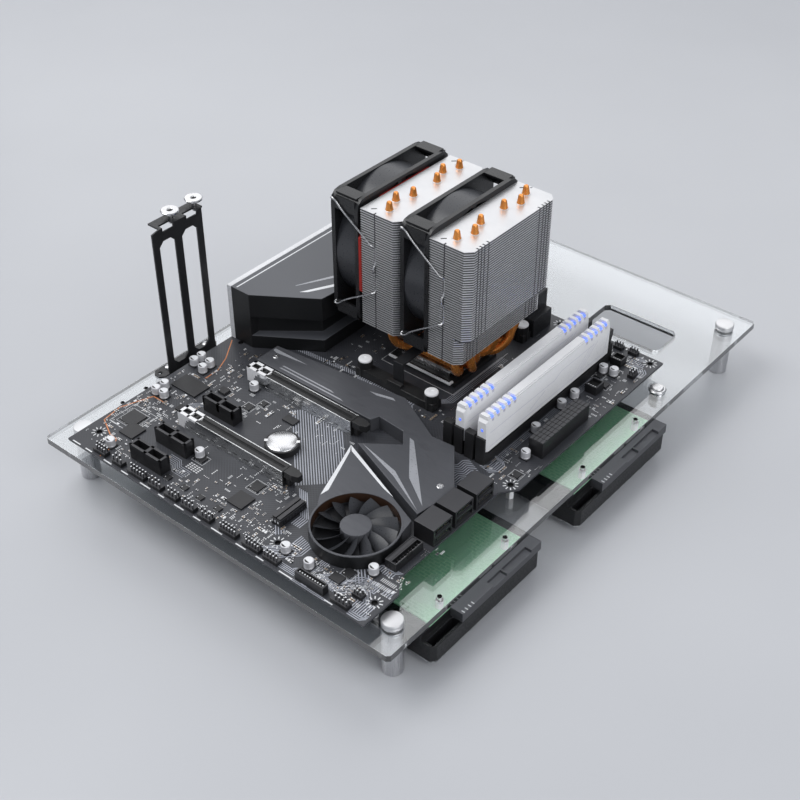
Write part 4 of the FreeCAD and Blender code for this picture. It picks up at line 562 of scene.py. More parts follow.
def add_blades(parts, count, steps, radii, halves, sweep, rise, thickness, place):
    """Curved blades round an axis, each a closed skin from its root to its tip."""
    for blade in range(count):
        rows = []
        for i in range(steps + 1):
            out = i / steps
            radius = radii[0] + (radii[1] - radii[0]) * out
            half = radians(halves[0] - halves[1] * out)
            start = 2 * pi * blade / count + sweep(out) - half
            front, back = [], []
            for j in range(steps + 1):
                across = j / steps
                y, z = polar(0, 0, radius, start + 2 * half * across)
                front.append(place(y, z, rise(out, across) + thickness(across)))
                back.append(place(y, z, rise(out, across) - thickness(across)))
            rows.append(front + back[::-1])
        parts.grid(rows, "blade", closed=True)
        parts.face(rows[-1], "blade")


def make_rotor(name, x, body, node):
    """A fan's hub and nine curved blades."""
    parts = Parts(name, body)
    deep = 15.6
    hub = [(0, 0.0), (15.5, 0.0), (17.3, 0.5), (17.9, 1.6), (17.9, deep), (0, deep)]
    parts.turned((x + 1.5, COOLER_Y, FAN_Z), hub, "fan", 64, "X")
    add_blades(
        parts, 9, 8, (17.6, 41.2), (21, 3.5), lambda out: 0.32 * out ** 1.3,
        lambda out, across: 2.5 + (deep - 1.6) * (1 - across) ** 1.15 * (0.92 - 0.06 * out),
        lambda across: 0.55 * sin(pi * (0.06 + 0.88 * across)) + 0.12,
        lambda y, z, along: (x + along, COOLER_Y + y, FAN_Z + z),
    )
    parts.done("fan_black", replaces=(node,))


def make_fan_frame(name, x):
    """A fan frame: two flanges with open corners, a round tunnel, posts at the corners and a motor mount."""
    parts = Parts(name + "_fan_housing")
    half, bore, sides = 45.0, 43, 96
    for low, high in ((x, x + 3.0), (x + 19.0, x + 22.0)):
        outer, inner = [], []
        for k in range(sides):
            a = 2 * pi * (k + 0.5) / sides
            reach = min(half / max(abs(cos(a)), abs(sin(a))), half * 1.345)
            outer.append(polar(COOLER_Y, FAN_Z, reach, a))
            inner.append(polar(COOLER_Y, FAN_Z, bore, a))
        rings = ((low, inner), (low, outer), (high, outer), (high, inner))
        rows = [[(level, *place) for place in ring] for level, ring in rings]
        parts.grid(rows, "fan", closed=True, joined=True)
    tunnel = [(43.05, 0), (44.6, 0), (44.6, 18), (43.05, 18), (43.05, 0)]
    parts.turned((x + 2.0, COOLER_Y, FAN_Z), tunnel, "blade", sides, "X")
    mount = x + 18.5
    motor = [(0, 0), (17.5, 0), (18, 0.5), (18, 3), (0, 3)]
    parts.turned((mount, COOLER_Y, FAN_Z), motor, "fan", 48, "X")
    for a in (0, pi / 2, pi, 3 * pi / 2):
        dy, dz = -2 * sin(a), 2 * cos(a)
        rows = []
        for y, z in (polar(COOLER_Y, FAN_Z, 17, a), polar(COOLER_Y, FAN_Z, 43.5, a)):
            rows.append([(mount, y - dy, z - dz), (mount + 3, y - dy, z - dz),
                         (mount + 3, y + dy, z + dz), (mount, y + dy, z + dz)])
        parts.grid(rows, "fan", False, True)
    long, thin = (34.0, 43.0), (43.6, 44.9)
    for sy, sz in ((-1, -1), (-1, 1), (1, -1), (1, 1)):
        parts.turned((x + 3, COOLER_Y + sy * 40.6, FAN_Z + sz * 40.6), [(3.0, 0), (3.0, 16)], "fan", 20, "X")
        for across, up in ((long, thin), (thin, long)):
            y0, y1 = sorted(COOLER_Y + sy * reach for reach in across)
            z0, z1 = sorted(FAN_Z + sz * reach for reach in up)
            parts.box((x + 2.6, y0, z0), (x + 19.4, y1, z1), "fan")
    parts.done("fan_black", angle=35, replaces=(name + "_fan_frame",))


def make_clips():
    """The wire clips, each hooked on a fan's edge at both ends and bent into the fins' groove."""
    lines = []
    for name, x in FANS.items():
        hold = TOWERS[name][0] + CLIP_GROOVE
        for side in (-1, 1):
            y, inner = COOLER_Y + side * 45.9, COOLER_Y + side * 43.9
            hook, tip = y - side * 0.4, inner + side * 0.4
            lines.append([
                (x + 2.2, tip, 119.2), (x + 0.6, hook, 120.2), (x + 1.6, y, 121.4), (x + 5, y, 120.2),
                (x + 9, y, 115.6), (hold - 4, y, 100.2), (hold - 2.4, y, 98.6), (hold - 0.6, y, 98.4),
                (hold, inner, 97.4), (hold, inner, 92), (hold, inner, 84.5), (hold - 0.4, y, 83),
                (hold - 0.4, y, 79), (hold, inner, 77.5), (hold, inner, 70), (hold, inner, 64.6),
                (hold - 0.6, y, 63.6), (hold - 2.4, y, 63.4), (hold - 4, y, 61.8), (x + 9, y, 48.4),
                (x + 5, y, 43.8), (x + 1.6, y, 42.6), (x + 0.6, hook, 43.8), (x + 2.2, tip, 44.8),
            ])
    wire("wire_clips", lines, 0.62, "wire", ("fan_clips",))


make_towers()
make_pipes()
for name in ("rear", "front"):
    make_rotor(name + "_blades", FANS[name], name + "_rotor", name + "_fan_rotor")
for name in ("rear", "front"):
    make_fan_frame(name, FANS[name])
make_clips()


# Board furniture


def span(name):
    """A CAD node's lowest and highest corners in board millimetres."""
    low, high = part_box(name)
    return Vector(low) * 1000 - SHIFT, Vector(high) * 1000 - SHIFT


def islands(names, low=-0.4, high=2.5):
    """The X, Y extents of each separate CAD solid that stands on the board."""
    found = []
    for name in names:
        mesh = bmesh.new()
        mesh.from_mesh(NODES[name].data)
        bmesh.ops.remove_doubles(mesh, verts=mesh.verts, dist=1e-6)
        seen = set()
        for start in mesh.verts:
            if start in seen:
                continue
            stack, cluster = [start], []
            seen.add(start)
            while stack:
                vert = stack.pop()
                cluster.append(vert.co * 1000 - SHIFT)
                for edge in vert.link_edges:
                    other = edge.other_vert(vert)
                    if other not in seen:
                        seen.add(other)
                        stack.append(other)
            if min(c.z for c in cluster) > high or max(c.z for c in cluster) < low:
                continue
            xs, ys = [c.x for c in cluster], [c.y for c in cluster]
            found.append((min(xs), min(ys), max(xs), max(ys)))
        mesh.free()
    return found


STANDING = [
    "io_cover", "supply_heatsink", "short_slots", "long_slots", "slot_shields", "memory_slots",
    "cpu_socket", "sata_ports", "main_power_socket", "pin_headers", "coin_cell_holder", "capacitors",
    "board_chips", "cooler_brackets", "rear_ports",
]
TAKEN = islands(STANDING)
# The places under the flat covers.
TAKEN += [(168, 22, 223, 77), (150, 70, 205, 101), (40, 124, 205, 156), (165, 95, 222, 140)]
HOLE_ROWS = ((16.51, 10.16), (140.97, 10.16), (298.45, 33.02))
HOLES = [(x, y) for y, rear_x in HOLE_ROWS for x in (rear_x, 165.1, 237.49)]
TAKEN += [(x - 6, y - 6, x + 6, y + 6) for x, y in HOLES]


def is_free(x0, y0, x1, y1, gap=0.35):
    """Whether a place on the board is still bare, and inside its edges."""
    if x0 < 0.8 or y0 < 0.8 or x1 > 242.8 or y1 > 303.6:
        return False
    # The front edge's near corner and a wedge beside the memory stay bare.
    if x1 > 236 and y0 < 6 or x1 > 229 and y1 > 160 and x1 - 229 > (y1 - 160) * 3:
        return False
    return not any(x0 - gap < d and c < x1 + gap and y0 - gap < f and e < y1 + gap for c, e, d, f in TAKEN)


PASSIVE_SIZES = ((1.6, 0.8, 0.5), (1.0, 0.5, 0.35), (2.0, 1.25, 0.7))
MARK_SIZES = ((1.5, 0.42), (2.4, 0.4), (0.8, 0.8), (1.2, 0.6))
MARK_SHARE = 0.28


def passive(parts, x, y, length, width, height, along_x, body):
    """A tiny capacitor or resistor with its two tinned ends."""
    end = length * 0.24
    for a0, a1, margin, high, look in (
        (0, length, 0, height * 0.96, body),
        (-0.02, end, 0.03, height, "solder"),
        (length - end, length + 0.02, 0.03, height, "solder"),
    ):
        along, across = (a0, a1), (-margin, width + margin)
        spans = along + across if along_x else across + along
        parts.blocks(x, y, [(*spans, 0, high, look)])


def scatter(parts, region, count, seed, dense):
    """Small pieces set out in short rows over a bare stretch of the board."""
    rng = random.Random(seed)
    x0, y0, x1, y1 = region
    grid = 0.6
    made = tries = 0
    while made < count and tries < count * 9:
        tries += 1
        kind = rng.random()
        x, y = x0 + rng.random() * (x1 - x0), y0 + rng.random() * (y1 - y0)
        x, y = round(x / grid) * grid, round(y / grid) * grid
        along_x = rng.random() < 0.55
        row = rng.randint(1, 4)
        if kind < dense:
            length, width, height = rng.choice(PASSIVE_SIZES)
            step = width + 0.55
        elif kind < dense + MARK_SHARE:
            length, width = rng.choice(MARK_SIZES)
            step = width + 0.5
        else:
            length = width = 0.55
            step = 1.3
        reach = step * (row - 1) + width
        place = (x, y, x + length, y + reach) if along_x else (x, y, x + reach, y + length)
        if not is_free(*place):
            continue
        TAKEN.append(place)
        for k in range(row):
            px, py = (x, y + step * k) if along_x else (x + step * k, y)
            if kind < dense:
                body = rng.choice(("ceramic", "ceramic", "chip", "trim"))
                passive(parts, px, py, length, width, height, along_x, body)
            else:
                dx, dy = (length, width) if along_x else (width, length)
                look = "mark" if kind < dense + MARK_SHARE else "solder"
                parts.box((px, py, 0.0), (px + dx, py + dy, 0.06), look)
            made += 1


def package(parts, x, y, width, length, height, pins, sides="nsew", frame=True):
    """A chip with its legs and the printed outline round it."""
    parts.box((x, y, 0.15), (x + width, y + length, height), "chip")
    parts.turned((x + 1.0, y + 1.0, height), [(0.35, 0), (0.35, 0.02), (0, 0.02)], "mark", 10)
    inner, outer = 0.05, 0.8
    for k in range(pins):
        a = (k + 0.5) / pins
        px, py = 0.6 + (width - 1.2) * a, 0.6 + (length - 1.2) * a
        legs = {
            "n": (px - 0.15, px + 0.15, length - inner, length + outer),
            "s": (px - 0.15, px + 0.15, -outer, inner),
            "e": (width - inner, width + outer, py - 0.15, py + 0.15),
            "w": (-outer, inner, py - 0.15, py + 0.15),
        }
        parts.blocks(x, y, [(*legs[side], 0, 0.2, "solder") for side in sides])
    if frame:
        outline(parts, x - 1.4, y - 1.4, width + 2.8, length + 2.8, 0.22)
    TAKEN.append((x - 1.6, y - 1.6, x + width + 1.6, y + length + 1.6))


def outline(parts, x, y, width, length, line):
    """A printed line round a rectangle."""
    parts.blocks(x, y, [(*sides, 0, 0.05, "mark") for sides in (
        (0, width, 0, line), (0, width, length - line, length),
        (0, line, 0, length), (width - line, width, 0, length),
    )])


def crosses_hole(a, b):
    """Whether a straight line between two places comes too near one of the board's holes."""
    for hole in HOLES:
        away, along = Vector(hole) - a, b - a
        share = min(1, max(0, away.dot(along) / along.length_squared))
        if (away - along * share).length < 2.4:
            return True
    return False


def band(start, end, width, overlap=0.0):
    """The four corners of a straight strip between two places."""
    a, b = Vector(start), Vector(end)
    along = (b - a).normalized()
    side, tail = Vector((-along.y, along.x)) * width / 2, along * width * overlap
    return [a - side - tail, b - side + tail, b + side + tail, a + side - tail]


def strip(parts, start, end, width, look, z=0.045):
    """A flat straight track on the board, left out where it would cross a hole."""
    if not crosses_hole(Vector(start), Vector(end)):
        parts.face([(c.x, c.y, z) for c in band(start, end, width, 0.2)], look)


TRACKS = (
    ((139.5, 58.5), [(-51, 51)], 20, (1.12, 1.12), 0.62),
    ((160, 33), [(0, 8), (-17, 17)], 5, (1.5, 0), 0.62),
    ((159.5, 20.5), [(-12, 12), (0, 6)], 4, (1.12, 1.12), 0.62),
    ((160, 8), [(12, 12), (0, 9)], 8, (1.5, -0.4), 0.62),
    ((196, 8.6), [(13, 13)], 8, (1.6, 0), 0.62),
    ((211, 8.5), [(6, 0), (9, 9), (0, 5)], 4, (-1.1, 1.5), 0.62),
    ((190, 1.0), [(26, 0)], 2, (0, -0.9), 0.4),
    ((229.5, 3.0), [(0, 10), (-7, 7), (0, 8)], 8, (1.5, 0.2), 0.62),
    ((231, 1.2), [(8, 0), (3, 3)], 3, (0, 1.3), 0.62),
    ((236.5, 23.5), [(0, 6)], 4, (1.6, 0), 0.62),
    ((197, 1.4), [(4, 0)], 4, (0, 1.2), 0.55),
    ((206, 8.2), [(10, 10)], 7, (1.35, -0.05), 0.6),
    ((214, 20.5), [(7, 7), (6, 0)], 6, (1.25, -1.25), 0.6),
    ((186, 7.2), [(8, 8), (0, 7)], 5, (1.25, 0.1), 0.55),
    ((176, 3.2), [(14, 0)], 4, (0, 1.1), 0.5),
    ((222, 36), [(0, 4), (3, 3)], 8, (1.5, 0), 0.6),
    ((229.4, 12), [(-5, 5)], 6, (1.3, 1.2), 0.55),
    ((213, 28), [(8, -8), (6, 0)], 5, (1.3, 1.3), 0.62),
    ((196, 124), [(3, 3), (0, 5), (3, 3), (0, 5), (3, 3)], 11, (1.6, -0.7), 0.5),
    ((213, 143), [(4, 4), (0, 7), (-3, 3)], 6, (1.5, -0.3), 0.5),
    ((222, 290), [(4, 4), (0, 3), (4, 4)], 7, (1.6, -0.5), 0.5),
    ((231, 287), [(3, -3), (0, -6)], 6, (1.5, 0.6), 0.5),
    ((44, 158.5), [(-3.2, 3.2)], 30, (1.75, 0.15), 0.5),
    ((100, 160), [(-3.4, 3.4), (0, 2)], 28, (1.75, -0.05), 0.5),
    ((60, 24), [(9, 0), (4, -4), (9, 0)], 6, (0.2, 1.3), 0.3),
    ((33, 62), [(0, 10), (6, 6), (0, 9)], 5, (1.3, 0), 0.3),
    ((152, 176), [(5, 5), (0, 60)], 5, (1.3, 0), 0.32),
    ((216, 150), [(0, 110), (4, 4)], 4, (1.2, 0), 0.28),
)
LOOSE_TRACKS = (
    ([(17.2, 19.2), (3.2, 26.4), (1.2, 41), (9.2, 62.5), (19.6, 62.5)], 0.75, "orange", 0.055),
    ([(17.2, 19.2), (24, 18.6), (27.6, 12.4), (28.6, 1.6)], 0.75, "orange", 0.055),
    ([(21, 97.5), (21, 108.5), (15.4, 121.6), (3.6, 139)], 0.75, "orange", 0.055),
    ([(96.5, 247), (96.5, 187.6), (157.6, 187.6), (157.6, 247)], 0.35, "mark", 0.05),
)


def make_tracks():
    """Families of parallel tracks, a few loose lines, and the marks printed round the board's holes."""
    parts = Parts("board_tracks")
    for start, moves, count, step, width in TRACKS:
        for k in range(count):
            x, y = start[0] + step[0] * k, start[1] + step[1] * k
            for dx, dy in moves:
                strip(parts, (x, y), (x + dx, y + dy), width, "track")
                x, y = x + dx, y + dy
    for route, width, look, z in LOOSE_TRACKS:
        for a, b in zip(route, route[1:]):
            strip(parts, a, b, width, look, z)
    for x, y in HOLES:
        if y > 290 and x < 100 or (x < 11 and y > 130):
            continue
        for k in range(10):
            a = 2 * pi * (k + 0.5) / 10
            strip(parts, polar(x, y, 2.9, a), polar(x, y, 4.7, a), 0.75, "mark", 0.06)
    parts.done("board_black", tidy=False)


CHIPS = (
    (10.5, 32.5, 12.5, 12.5, 1.1, 16), (119, 39, 7.5, 7.5, 1.0, 9), (62, 91, 5.5, 5.5, 0.9, 6),
    (75, 36.5, 7, 5, 0.9, 7, "ns"), (209.5, 21, 6, 6, 1.1, 6), (232.5, 147.5, 5.2, 5.2, 1.0, 6),
    (68, 100, 4.2, 4.2, 0.9, 5), (38, 92, 6.5, 5.5, 2.0, 4, "ew"), (216.6, 262.6, 4.6, 4.6, 1.4, 4),
    (224.6, 256.0, 5.2, 5.2, 1.4, 5),
    *[(x, 12.6, 4.6, 3.6, 1.0, 4, "ns", False) for x in (73.5, 88, 101.5, 116.5)],
)
PATCHES = (
    ((1, 27, 29, 56), 120, 11, 0.35), ((2, 56, 42, 96), 110, 12, 0.4), ((16, 96, 44, 141), 80, 13, 0.4),
    ((2, 8, 60, 24), 90, 14, 0.45), ((54, 7.5, 150, 22), 130, 15, 0.5), ((72, 22, 116, 50), 34, 16, 0.3),
    ((112, 14, 152, 52), 80, 17, 0.45), ((46, 84, 96, 112), 70, 18, 0.45), ((96, 90, 140, 112), 40, 19, 0.3),
    ((190, 7.5, 243, 40), 170, 20, 0.5), ((150, 8, 178, 26), 60, 21, 0.5), ((222, 60, 243, 70), 16, 22, 0.5),
    ((214, 136, 243, 168), 70, 23, 0.45), ((217, 225, 243, 303), 130, 24, 0.4),
    ((160, 144, 184, 290), 110, 25, 0.3), ((68, 144, 160, 170), 120, 26, 0.35),
    ((68, 170, 96, 270), 80, 27, 0.4), ((216, 168, 228, 226), 24, 28, 0.4),
    ((160, 288, 230, 303), 60, 29, 0.45), ((185, 288, 230, 303), 30, 30, 0.45),
    ((28, 40, 44, 60), 30, 31, 0.4), ((124, 45, 142, 54), 20, 32, 0.4),
)
EDGE_MARKS = (
    (4, 7), (16, 6), (33, 7), (49, 6), (66, 9), (82, 5), (96, 8), (112, 6), (127, 9), (147, 8), (163, 6),
    (181, 10), (215, 6),
)


def make_small_parts():
    """Chips with their legs, printed marks, and tiny parts scattered over the bare stretches."""
    parts = Parts("small_parts")
    for chip in CHIPS:
        package(parts, *chip)
    outline(parts, 6, 28, 21.5, 21.5, 0.3)
    for k in range(9):
        for y in (26.4, 31.0):
            x = 229.2 + 1.15 * k
            parts.box((x, y, 0), (x + 0.45, y + 2.8, 0.1), "mark")
    for k in range(5):
        for row in range(4):
            x, y = 76 + k * 2.2, 28 + row * 1.5
            parts.box((x, y, 0), (x + 1.4, y + 0.8, 0.06), "mark")
    TAKEN.extend([(228.5, 26, 239.5, 34.5), (75, 27, 88, 35)])
    for x, length in EDGE_MARKS:
        parts.box((x, 0.3, 0), (x + length, 1.1, 0.07), "trim")
    for patch in PATCHES:
        scatter(parts, *patch)
    parts.done("board_black")


EDGE_HEADERS = [
    (21.5, 11), (39, 8.5), (53, 14.5), (71.5, 10.5), (85.5, 10.5), (100, 10.5), (114, 10.5), (132, 13),
    (150.5, 13), (167, 11), (218, 12),
]


def shell(parts, x0, y0, x1, y1, high, wall, depth, inner="void"):
    """A moulded socket: a block whose top is open behind thin walls, over a thin floor sheet painted dark as
    shade unless another look is given.
    """
    floor = high - depth
    x, y = x1 - x0, y1 - y0
    parts.blocks(x0, y0, [
        (0, x, 0, y, 0, floor, "plug"), (0, x, 0, wall, floor, high, "plug"),
        (0, x, y - wall, y, floor, high, "plug"), (0, wall, wall, y - wall, floor, high, "plug"),
        (x - wall, x, wall, y - wall, floor, high, "plug"),
        (wall, x - wall, wall, y - wall, floor, floor + 0.05, inner),
    ])


def add_pin(parts, x, y, half, low, neck, tip, high):
    """A square pin: its body painted dark as shade, its slightly wider tip painted bright as a highlight."""
    for reach, z0, z1, look in ((half, low, neck, "dark_pin"), (half + 0.04, tip, high, "bright")):
        parts.box((x - reach, y - reach, z0), (x + reach, y + reach, z1), look)


def make_headers():
    """The headers along the near edge, and the sockets among them and at the board's ends."""
    parts = Parts("headers")
    for n, (x, length) in enumerate(EDGE_HEADERS):
        columns = max(3, int(length / 2.15))
        parts.box((x, 2.0, 0), (x + length, 6.5, 2.6), "plug")
        pitch = (length - 1.6) / (columns - 1)
        missing = (columns - 1 if n % 2 else 0, n % 2)
        for i in range(columns):
            for j in (0, 1):
                if (i, j) != missing:
                    add_pin(parts, x + 0.8 + pitch * i, 3.1 + 2.3 * j, 0.34, 2.6, 5.8, 5.7, 6.0)
        # Thin dark strips of painted shade in the grooves between the housing's sections.
        for i in range(columns + 1):
            groove = x + length * i / columns
            parts.box((max(x, groove - 0.12), 1.98, 0.4), (min(x + length, groove + 0.12), 2.05, 2.4), "void")
    shell(parts, 192, 2, 213, 6.5, 6, 0.9, 1.2)
    for k in range(10):
        x = 193.9 + 1.9 * k
        parts.box((x - 0.35, 4.0, 4.8), (x + 0.35, 4.7, 5.2), "bright")
    shell(parts, 224, 41, 227.2, 65, 6, 0.5, 0.4, "plug")
    shell(parts, 227.4, 41, 232, 65, 6, 0.7, 3.6)
    for k in range(9):
        # Painted light: the near row of contacts is painted dark as shade, the far row bright as lit.
        parts.blocks(229, 43.4 + 2.4 * k, [(0, 0.5, -0.3, 0.3, 2.4, 4.6, "dark_pin"),
                                           (1.3, 1.8, -0.3, 0.3, 2.4, 4.6, "bright")])
        parts.blocks(158, 27.4 + 2.4 * k, [(-0.04, 0.02, -0.5, 0.5, 1.2, 3.6, "dark_pin")])
    # The first row is a dark patch of painted shade on the socket's outer wall.
    parts.blocks(0, 0, [
        (231.4, 232.02, 50.4, 55.6, 3.2, 6.02, "void"), (151, 158, 26, 48, 0, 4.6, "plug"),
        (151.6, 154.2, 26.6, 47.4, 4.6, 6, "plug"), (154.8, 157.4, 26.6, 47.4, 4.6, 5.6, "plug"),
    ])
    for x in (151.2, 153.4, 155.6):
        parts.box((x, 25.95, 2.2), (x + 1.0, 26.02, 3.8), "bright")
    shell(parts, 10, 291.5, 28, 303.5, 12, 1.0, 0.5, "plug")
    # Dark squares of painted shade in the socket's openings.
    for x in (11.6, 15.7, 19.8, 23.9):
        for y in (293.2, 298.1):
            parts.box((x, y, 11.2), (x + 3.0, y + 3.4, 11.56), "void")
    parts.done("socket_black", replaces=("pin_headers",))


def make_right_end_sockets():
    """Dark plugs and headers at the right end, each with a few light contacts."""
    parts = Parts("right_end_sockets")
    for x, y, width, length, high in ((220.4, 245.6, 8.6, 9.2, 6.4), (216.6, 281.6, 8.2, 7.6, 5.6)):
        shell(parts, x, y, x + width, y + length, high, 0.8, 2.4)
        for k in range(4):
            px = x + 1.5 + (width - 3.6) * k / 3
            parts.box((px, y + 1.1, high - 2.4), (px + 0.6, y + 1.7, high - 0.2), "bright")
        TAKEN.append((x, y, x + width, y + length))
    for x, y, columns, rows in (
        (233.6, 276.0, 2, 3), (208.6, 298.0, 3, 2), (219.8, 298.6, 3, 2), (224.6, 12.4, 3, 2),
    ):
        end_x, end_y = x + 2.2 * columns, y + 2.2 * rows
        parts.box((x, y, 0), (end_x, end_y, 2.5), "plug")
        for i in range(columns):
            for j in range(rows):
                add_pin(parts, x + 2.2 * i + 1.1, y + 2.2 * j + 1.1, 0.32, 2.5, 5.6, 5.3, 5.9)
        TAKEN.append((x, y, end_x, end_y))
    parts.done("socket_black", bevel=0.1)


def middles(name, low=-0.4, high=2.5):
    """The middle of each of a node's separate solids."""
    return [((x0 + x1) / 2, (y0 + y1) / 2) for x0, y0, x1, y1 in islands([name], low, high)]


def make_hole_shade():
    """Dark rings and cups of painted shade in the plate's spare holes and in the board's holes."""
    parts = Parts("painted_hole_shade")
    # Painted shade: a dark ring inside each spare hole of the plate, and a dark cup in each of the board's
    # holes.
    shade_ring = [(1.44, 0), (1.44, 1.05), (1.3, 1.05), (1.3, 0.1), (0, 0.1)]
    front = [place for place in middles("drive_spacers", -60, 60) if place[0] > 200]
    for x, y in [(-11.5, 52.6), (-11.5, 52.6 + CARD_PITCH)] + front:
        parts.turned((x, y, span("acrylic_plate")[1].z - 1.1), shade_ring, "void", 24)
    for x, y in HOLES:
        parts.turned((x, y, -1.5), [(0, 0), (1.78, 0), (1.78, 1.46)], "void", 24)
    parts.done("screw_steel")


def make_power_socket():
    """The long socket: a block whose top is a close grid of cells."""
    parts = Parts("power_socket")
    low, high = span("main_power_socket")
    floor = high.z - 0.5
    parts.box((low.x, low.y, 0), (high.x, high.y, floor), "plug")
    columns, rows = 4, 12
    width, length = (high.x - low.x) / columns, (high.y - low.y) / rows
    for i in range(columns):
        for j in range(rows):
            x, y = low.x + width * i, low.y + length * j
            parts.box((x + 0.14, y + 0.16, floor), (x + width - 0.14, y + length - 0.16, high.z), "plug")
    middle = (low.y + high.y) / 2
    parts.box((high.x - 0.1, middle - 2.4, 5), (high.x, middle + 2.4, high.z - 0.8), "plug")
    parts.done("socket_black", bevel=0.05, replaces=("main_power_socket",))


def make_cans():
    """Round capacitors: a dark foot, a silver can with a rolled neck, and a part-black top."""
    parts = Parts("round_capacitors")
    places = middles("capacitors")
    for x, y in ((218, 230.6), (218.4, 270.6), (225.6, 272.2)):
        if all(hypot(x - other_x, y - other_y) > 6.3 for other_x, other_y in places):
            places.append((x, y))
    can = [(2.9, 0), (3.0, 0.3), (3.0, 0.7), (2.72, 1.0), (3.0, 1.35), (3.0, 4.9), (2.8, 5.15), (2.4, 5.2)]
    for x, y in places:
        parts.box((x - 3.05, y - 3.05, 0), (x + 3.05, y + 3.05, 0.7), "chip")
        parts.turned((x, y, 0.7), can, "can", 28)
        parts.turned((x, y, 0.7), [(2.4, 5.2), (2.3, 5.12), (0, 5.12)], "trim", 28)
        wedge = [polar(x, y, 2.32, radians(200 + 12 * k)) for k in range(11)]
        parts.plate(wedge, 5.8, 5.9, "chip")
    parts.done("can_white", angle=35, replaces=("capacitors",))


def make_cell():
    """The coin cell and its round seat with two contacts."""
    x, y = 108.7, 79.1
    parts = Parts("cell_and_clip")
    cell = [(0, 0), (9.6, 0), (10, 0.3), (10, 2.6), (9.75, 2.95), (9.3, 3.2), (0, 3.2)]
    parts.turned((x, y, 1.8), cell, "cell", 64)
    parts.done("cell_steel", replaces=("coin_cell",))
    clip = Parts("cell_seat")
    seat = [(10.1, 1.8), (10.1, 4.2), (10.3, 4.4), (10.9, 4.4), (11.1, 4.2), (11.1, 0)]
    clip.turned((x, y, 0), seat, "socket", 64)
    for a in (radians(35), radians(215)):
        px, py = polar(x, y, 10.0, a)
        clip.box((px - 1.1, py - 1.1, 4.3), (px + 1.1, py + 1.1, 5.1), "steel", a)
    clip.done("socket_black", replaces=("coin_cell_holder",))


def make_slots():
    """Short slots with two wide mouths, and the long slots' bright ends and dark inserts."""
    parts = Parts("short_slot_blocks")
    w, floor, top = 4.0, 5.2, 11.2
    short = [(0, 27, -w, w, 0, floor, "plug")]
    short += [(x0, x1, -w, w, floor, top, "plug") for x0, x1 in ((0, 1.6), (12.4, 14.8), (25.4, 27))]
    short += [(0, 27, y, y + 1.7, floor, top, "plug") for y in (-w, w - 1.7)]
    # A thin dark sheet of painted shade on the floor of the mouths.
    short += [(1.6, 25.4, -1.9, 1.9, floor + 0.01, floor + 0.1, "void")]
    for row in (0, 1, 3):
        parts.blocks(44.5, FIRST_SLOT_Y + CARD_PITCH * row, short)
    parts.done("socket_black", bevel=0.12, replaces=("short_slots",))

    ends = Parts("slot_end_caps")
    w, end, top = 4.38, 89.52, 11.26
    long = [(x0, x1, -w, w, top - 1.6, top, "white") for x0, x1 in ((0, 2.2), (7.9, 9.5), (16.2, 17.2))]
    long += [(0, 17.2, y, y + 2.3, top - 1.6, top, "white") for y in (-w, w - 2.3)]
    long += [(-0.02, 0.7, -w, w, 0.4, top - 0.2, "white")]
    steps = ((0.6, 2.6, 5.0), (2.6, 5.2, 6.0), (5.2, 7.6, 7.2), (7.6, 9.6, 9.5), (9.6, top, 14.0))
    long += [(0, reach, -w - 0.04, -w + 0.1, z0, z1, "white") for z0, z1, reach in steps]
    # Thin dark sheets of painted shade in the cap's mouths and along the insert's middle groove.
    long += [
        (2.0, 16.8, -2.2, 2.2, top - 1.5, top - 1.4, "void"), (18, end, -3.7, -1.3, top - 0.9, top, "socket"),
        (18, end, 1.3, 3.7, top - 0.9, top, "socket"), (18, end, -1.3, 1.3, top - 1.0, top - 0.55, "void"),
    ]
    for k in range(9):
        x = 6 + 9.4 * k
        long += [(x, x + 3.2, -w - 0.06, -w + 0.02, 0.8, 2.2, "shield"),
                 (x + 4.4, x + 8.4, -w - 0.05, -w + 0.02, 3.4, 3.8, "void")]
    for row in (2, 5):
        ends.blocks(43.88, FIRST_SLOT_Y + CARD_PITCH * row, long)
    ends.done("shield_steel", bevel=0.12)


def make_inlays():
    """The light inlays on the covers, in a plain layout of our own."""
    parts = Parts("cover_inlays")
    top = 42.72
    for look, low, high, outlines in (
        ("bright", 9.28, 9.36, (
            [(163.4, 54.6), (147.3, 99.6), (151.0, 94.6), (164.3, 60.4)],
            [(147.3, 99.6), (197.5, 79.9), (188, 82.0), (151.6, 95.4)],
        )),
        ("shard", 9.98, 10.06, (
            [(152.6, 104.4), (186.0, 93.6), (215.6, 79.4), (184.0, 97.6)],
            [(171.0, 127.0), (175.0, 126.2), (215.6, 84.2), (194.0, 98.4)],
            [(60.0, 127.6), (116.0, 127.6), (112.6, 128.6), (61.4, 128.6)],
            [(60.0, 130.2), (106.0, 130.2), (102.6, 131.2), (61.4, 131.2)],
            [(43.4, 141.6), (72.0, 141.6), (47.0, 138.4), (43.4, 139.4)],
            [(122.0, 146.4), (138.0, 150.6), (141.0, 149.2), (128.0, 146.0)],
        )),
        ("bright", top - 0.04, top, (
            [(7.4, 143.6), (8.4, 144.0), (8.4, 286), (7.4, 286)],
            [(44.0, 166.0), (48.4, 169.6), (64.6, 199.0), (64.6, 206.0)],
        )),
        ("shard", top - 0.04, top, ([(36.5, 170.0), (37.3, 170.2), (61.0, 214.0), (56.6, 214.0)],)),
    ):
        for corners in outlines:
            parts.plate(corners, low, high, look)
    parts.done("cover_grey")


def make_ring():
    """The smooth ring round the chipset's fan, with a painted warm light on its far inside wall."""
    parts = Parts("fan_ring")
    outer, inner, top = 27.34, 25.8, 9.38
    profile = [(outer, 0.2), (outer, top - 0.5), (outer - 0.35, top), (inner + 0.2, top), (inner, top - 0.3),
               (inner, 2.6)]
    parts.turned((195.3, 49.5, 0), profile, "grey_cover", 96,
                 looks=["cover", "cover", "grey_cover", "grey_cover", "warm"])
    parts.done("cover_grey", angle=30)


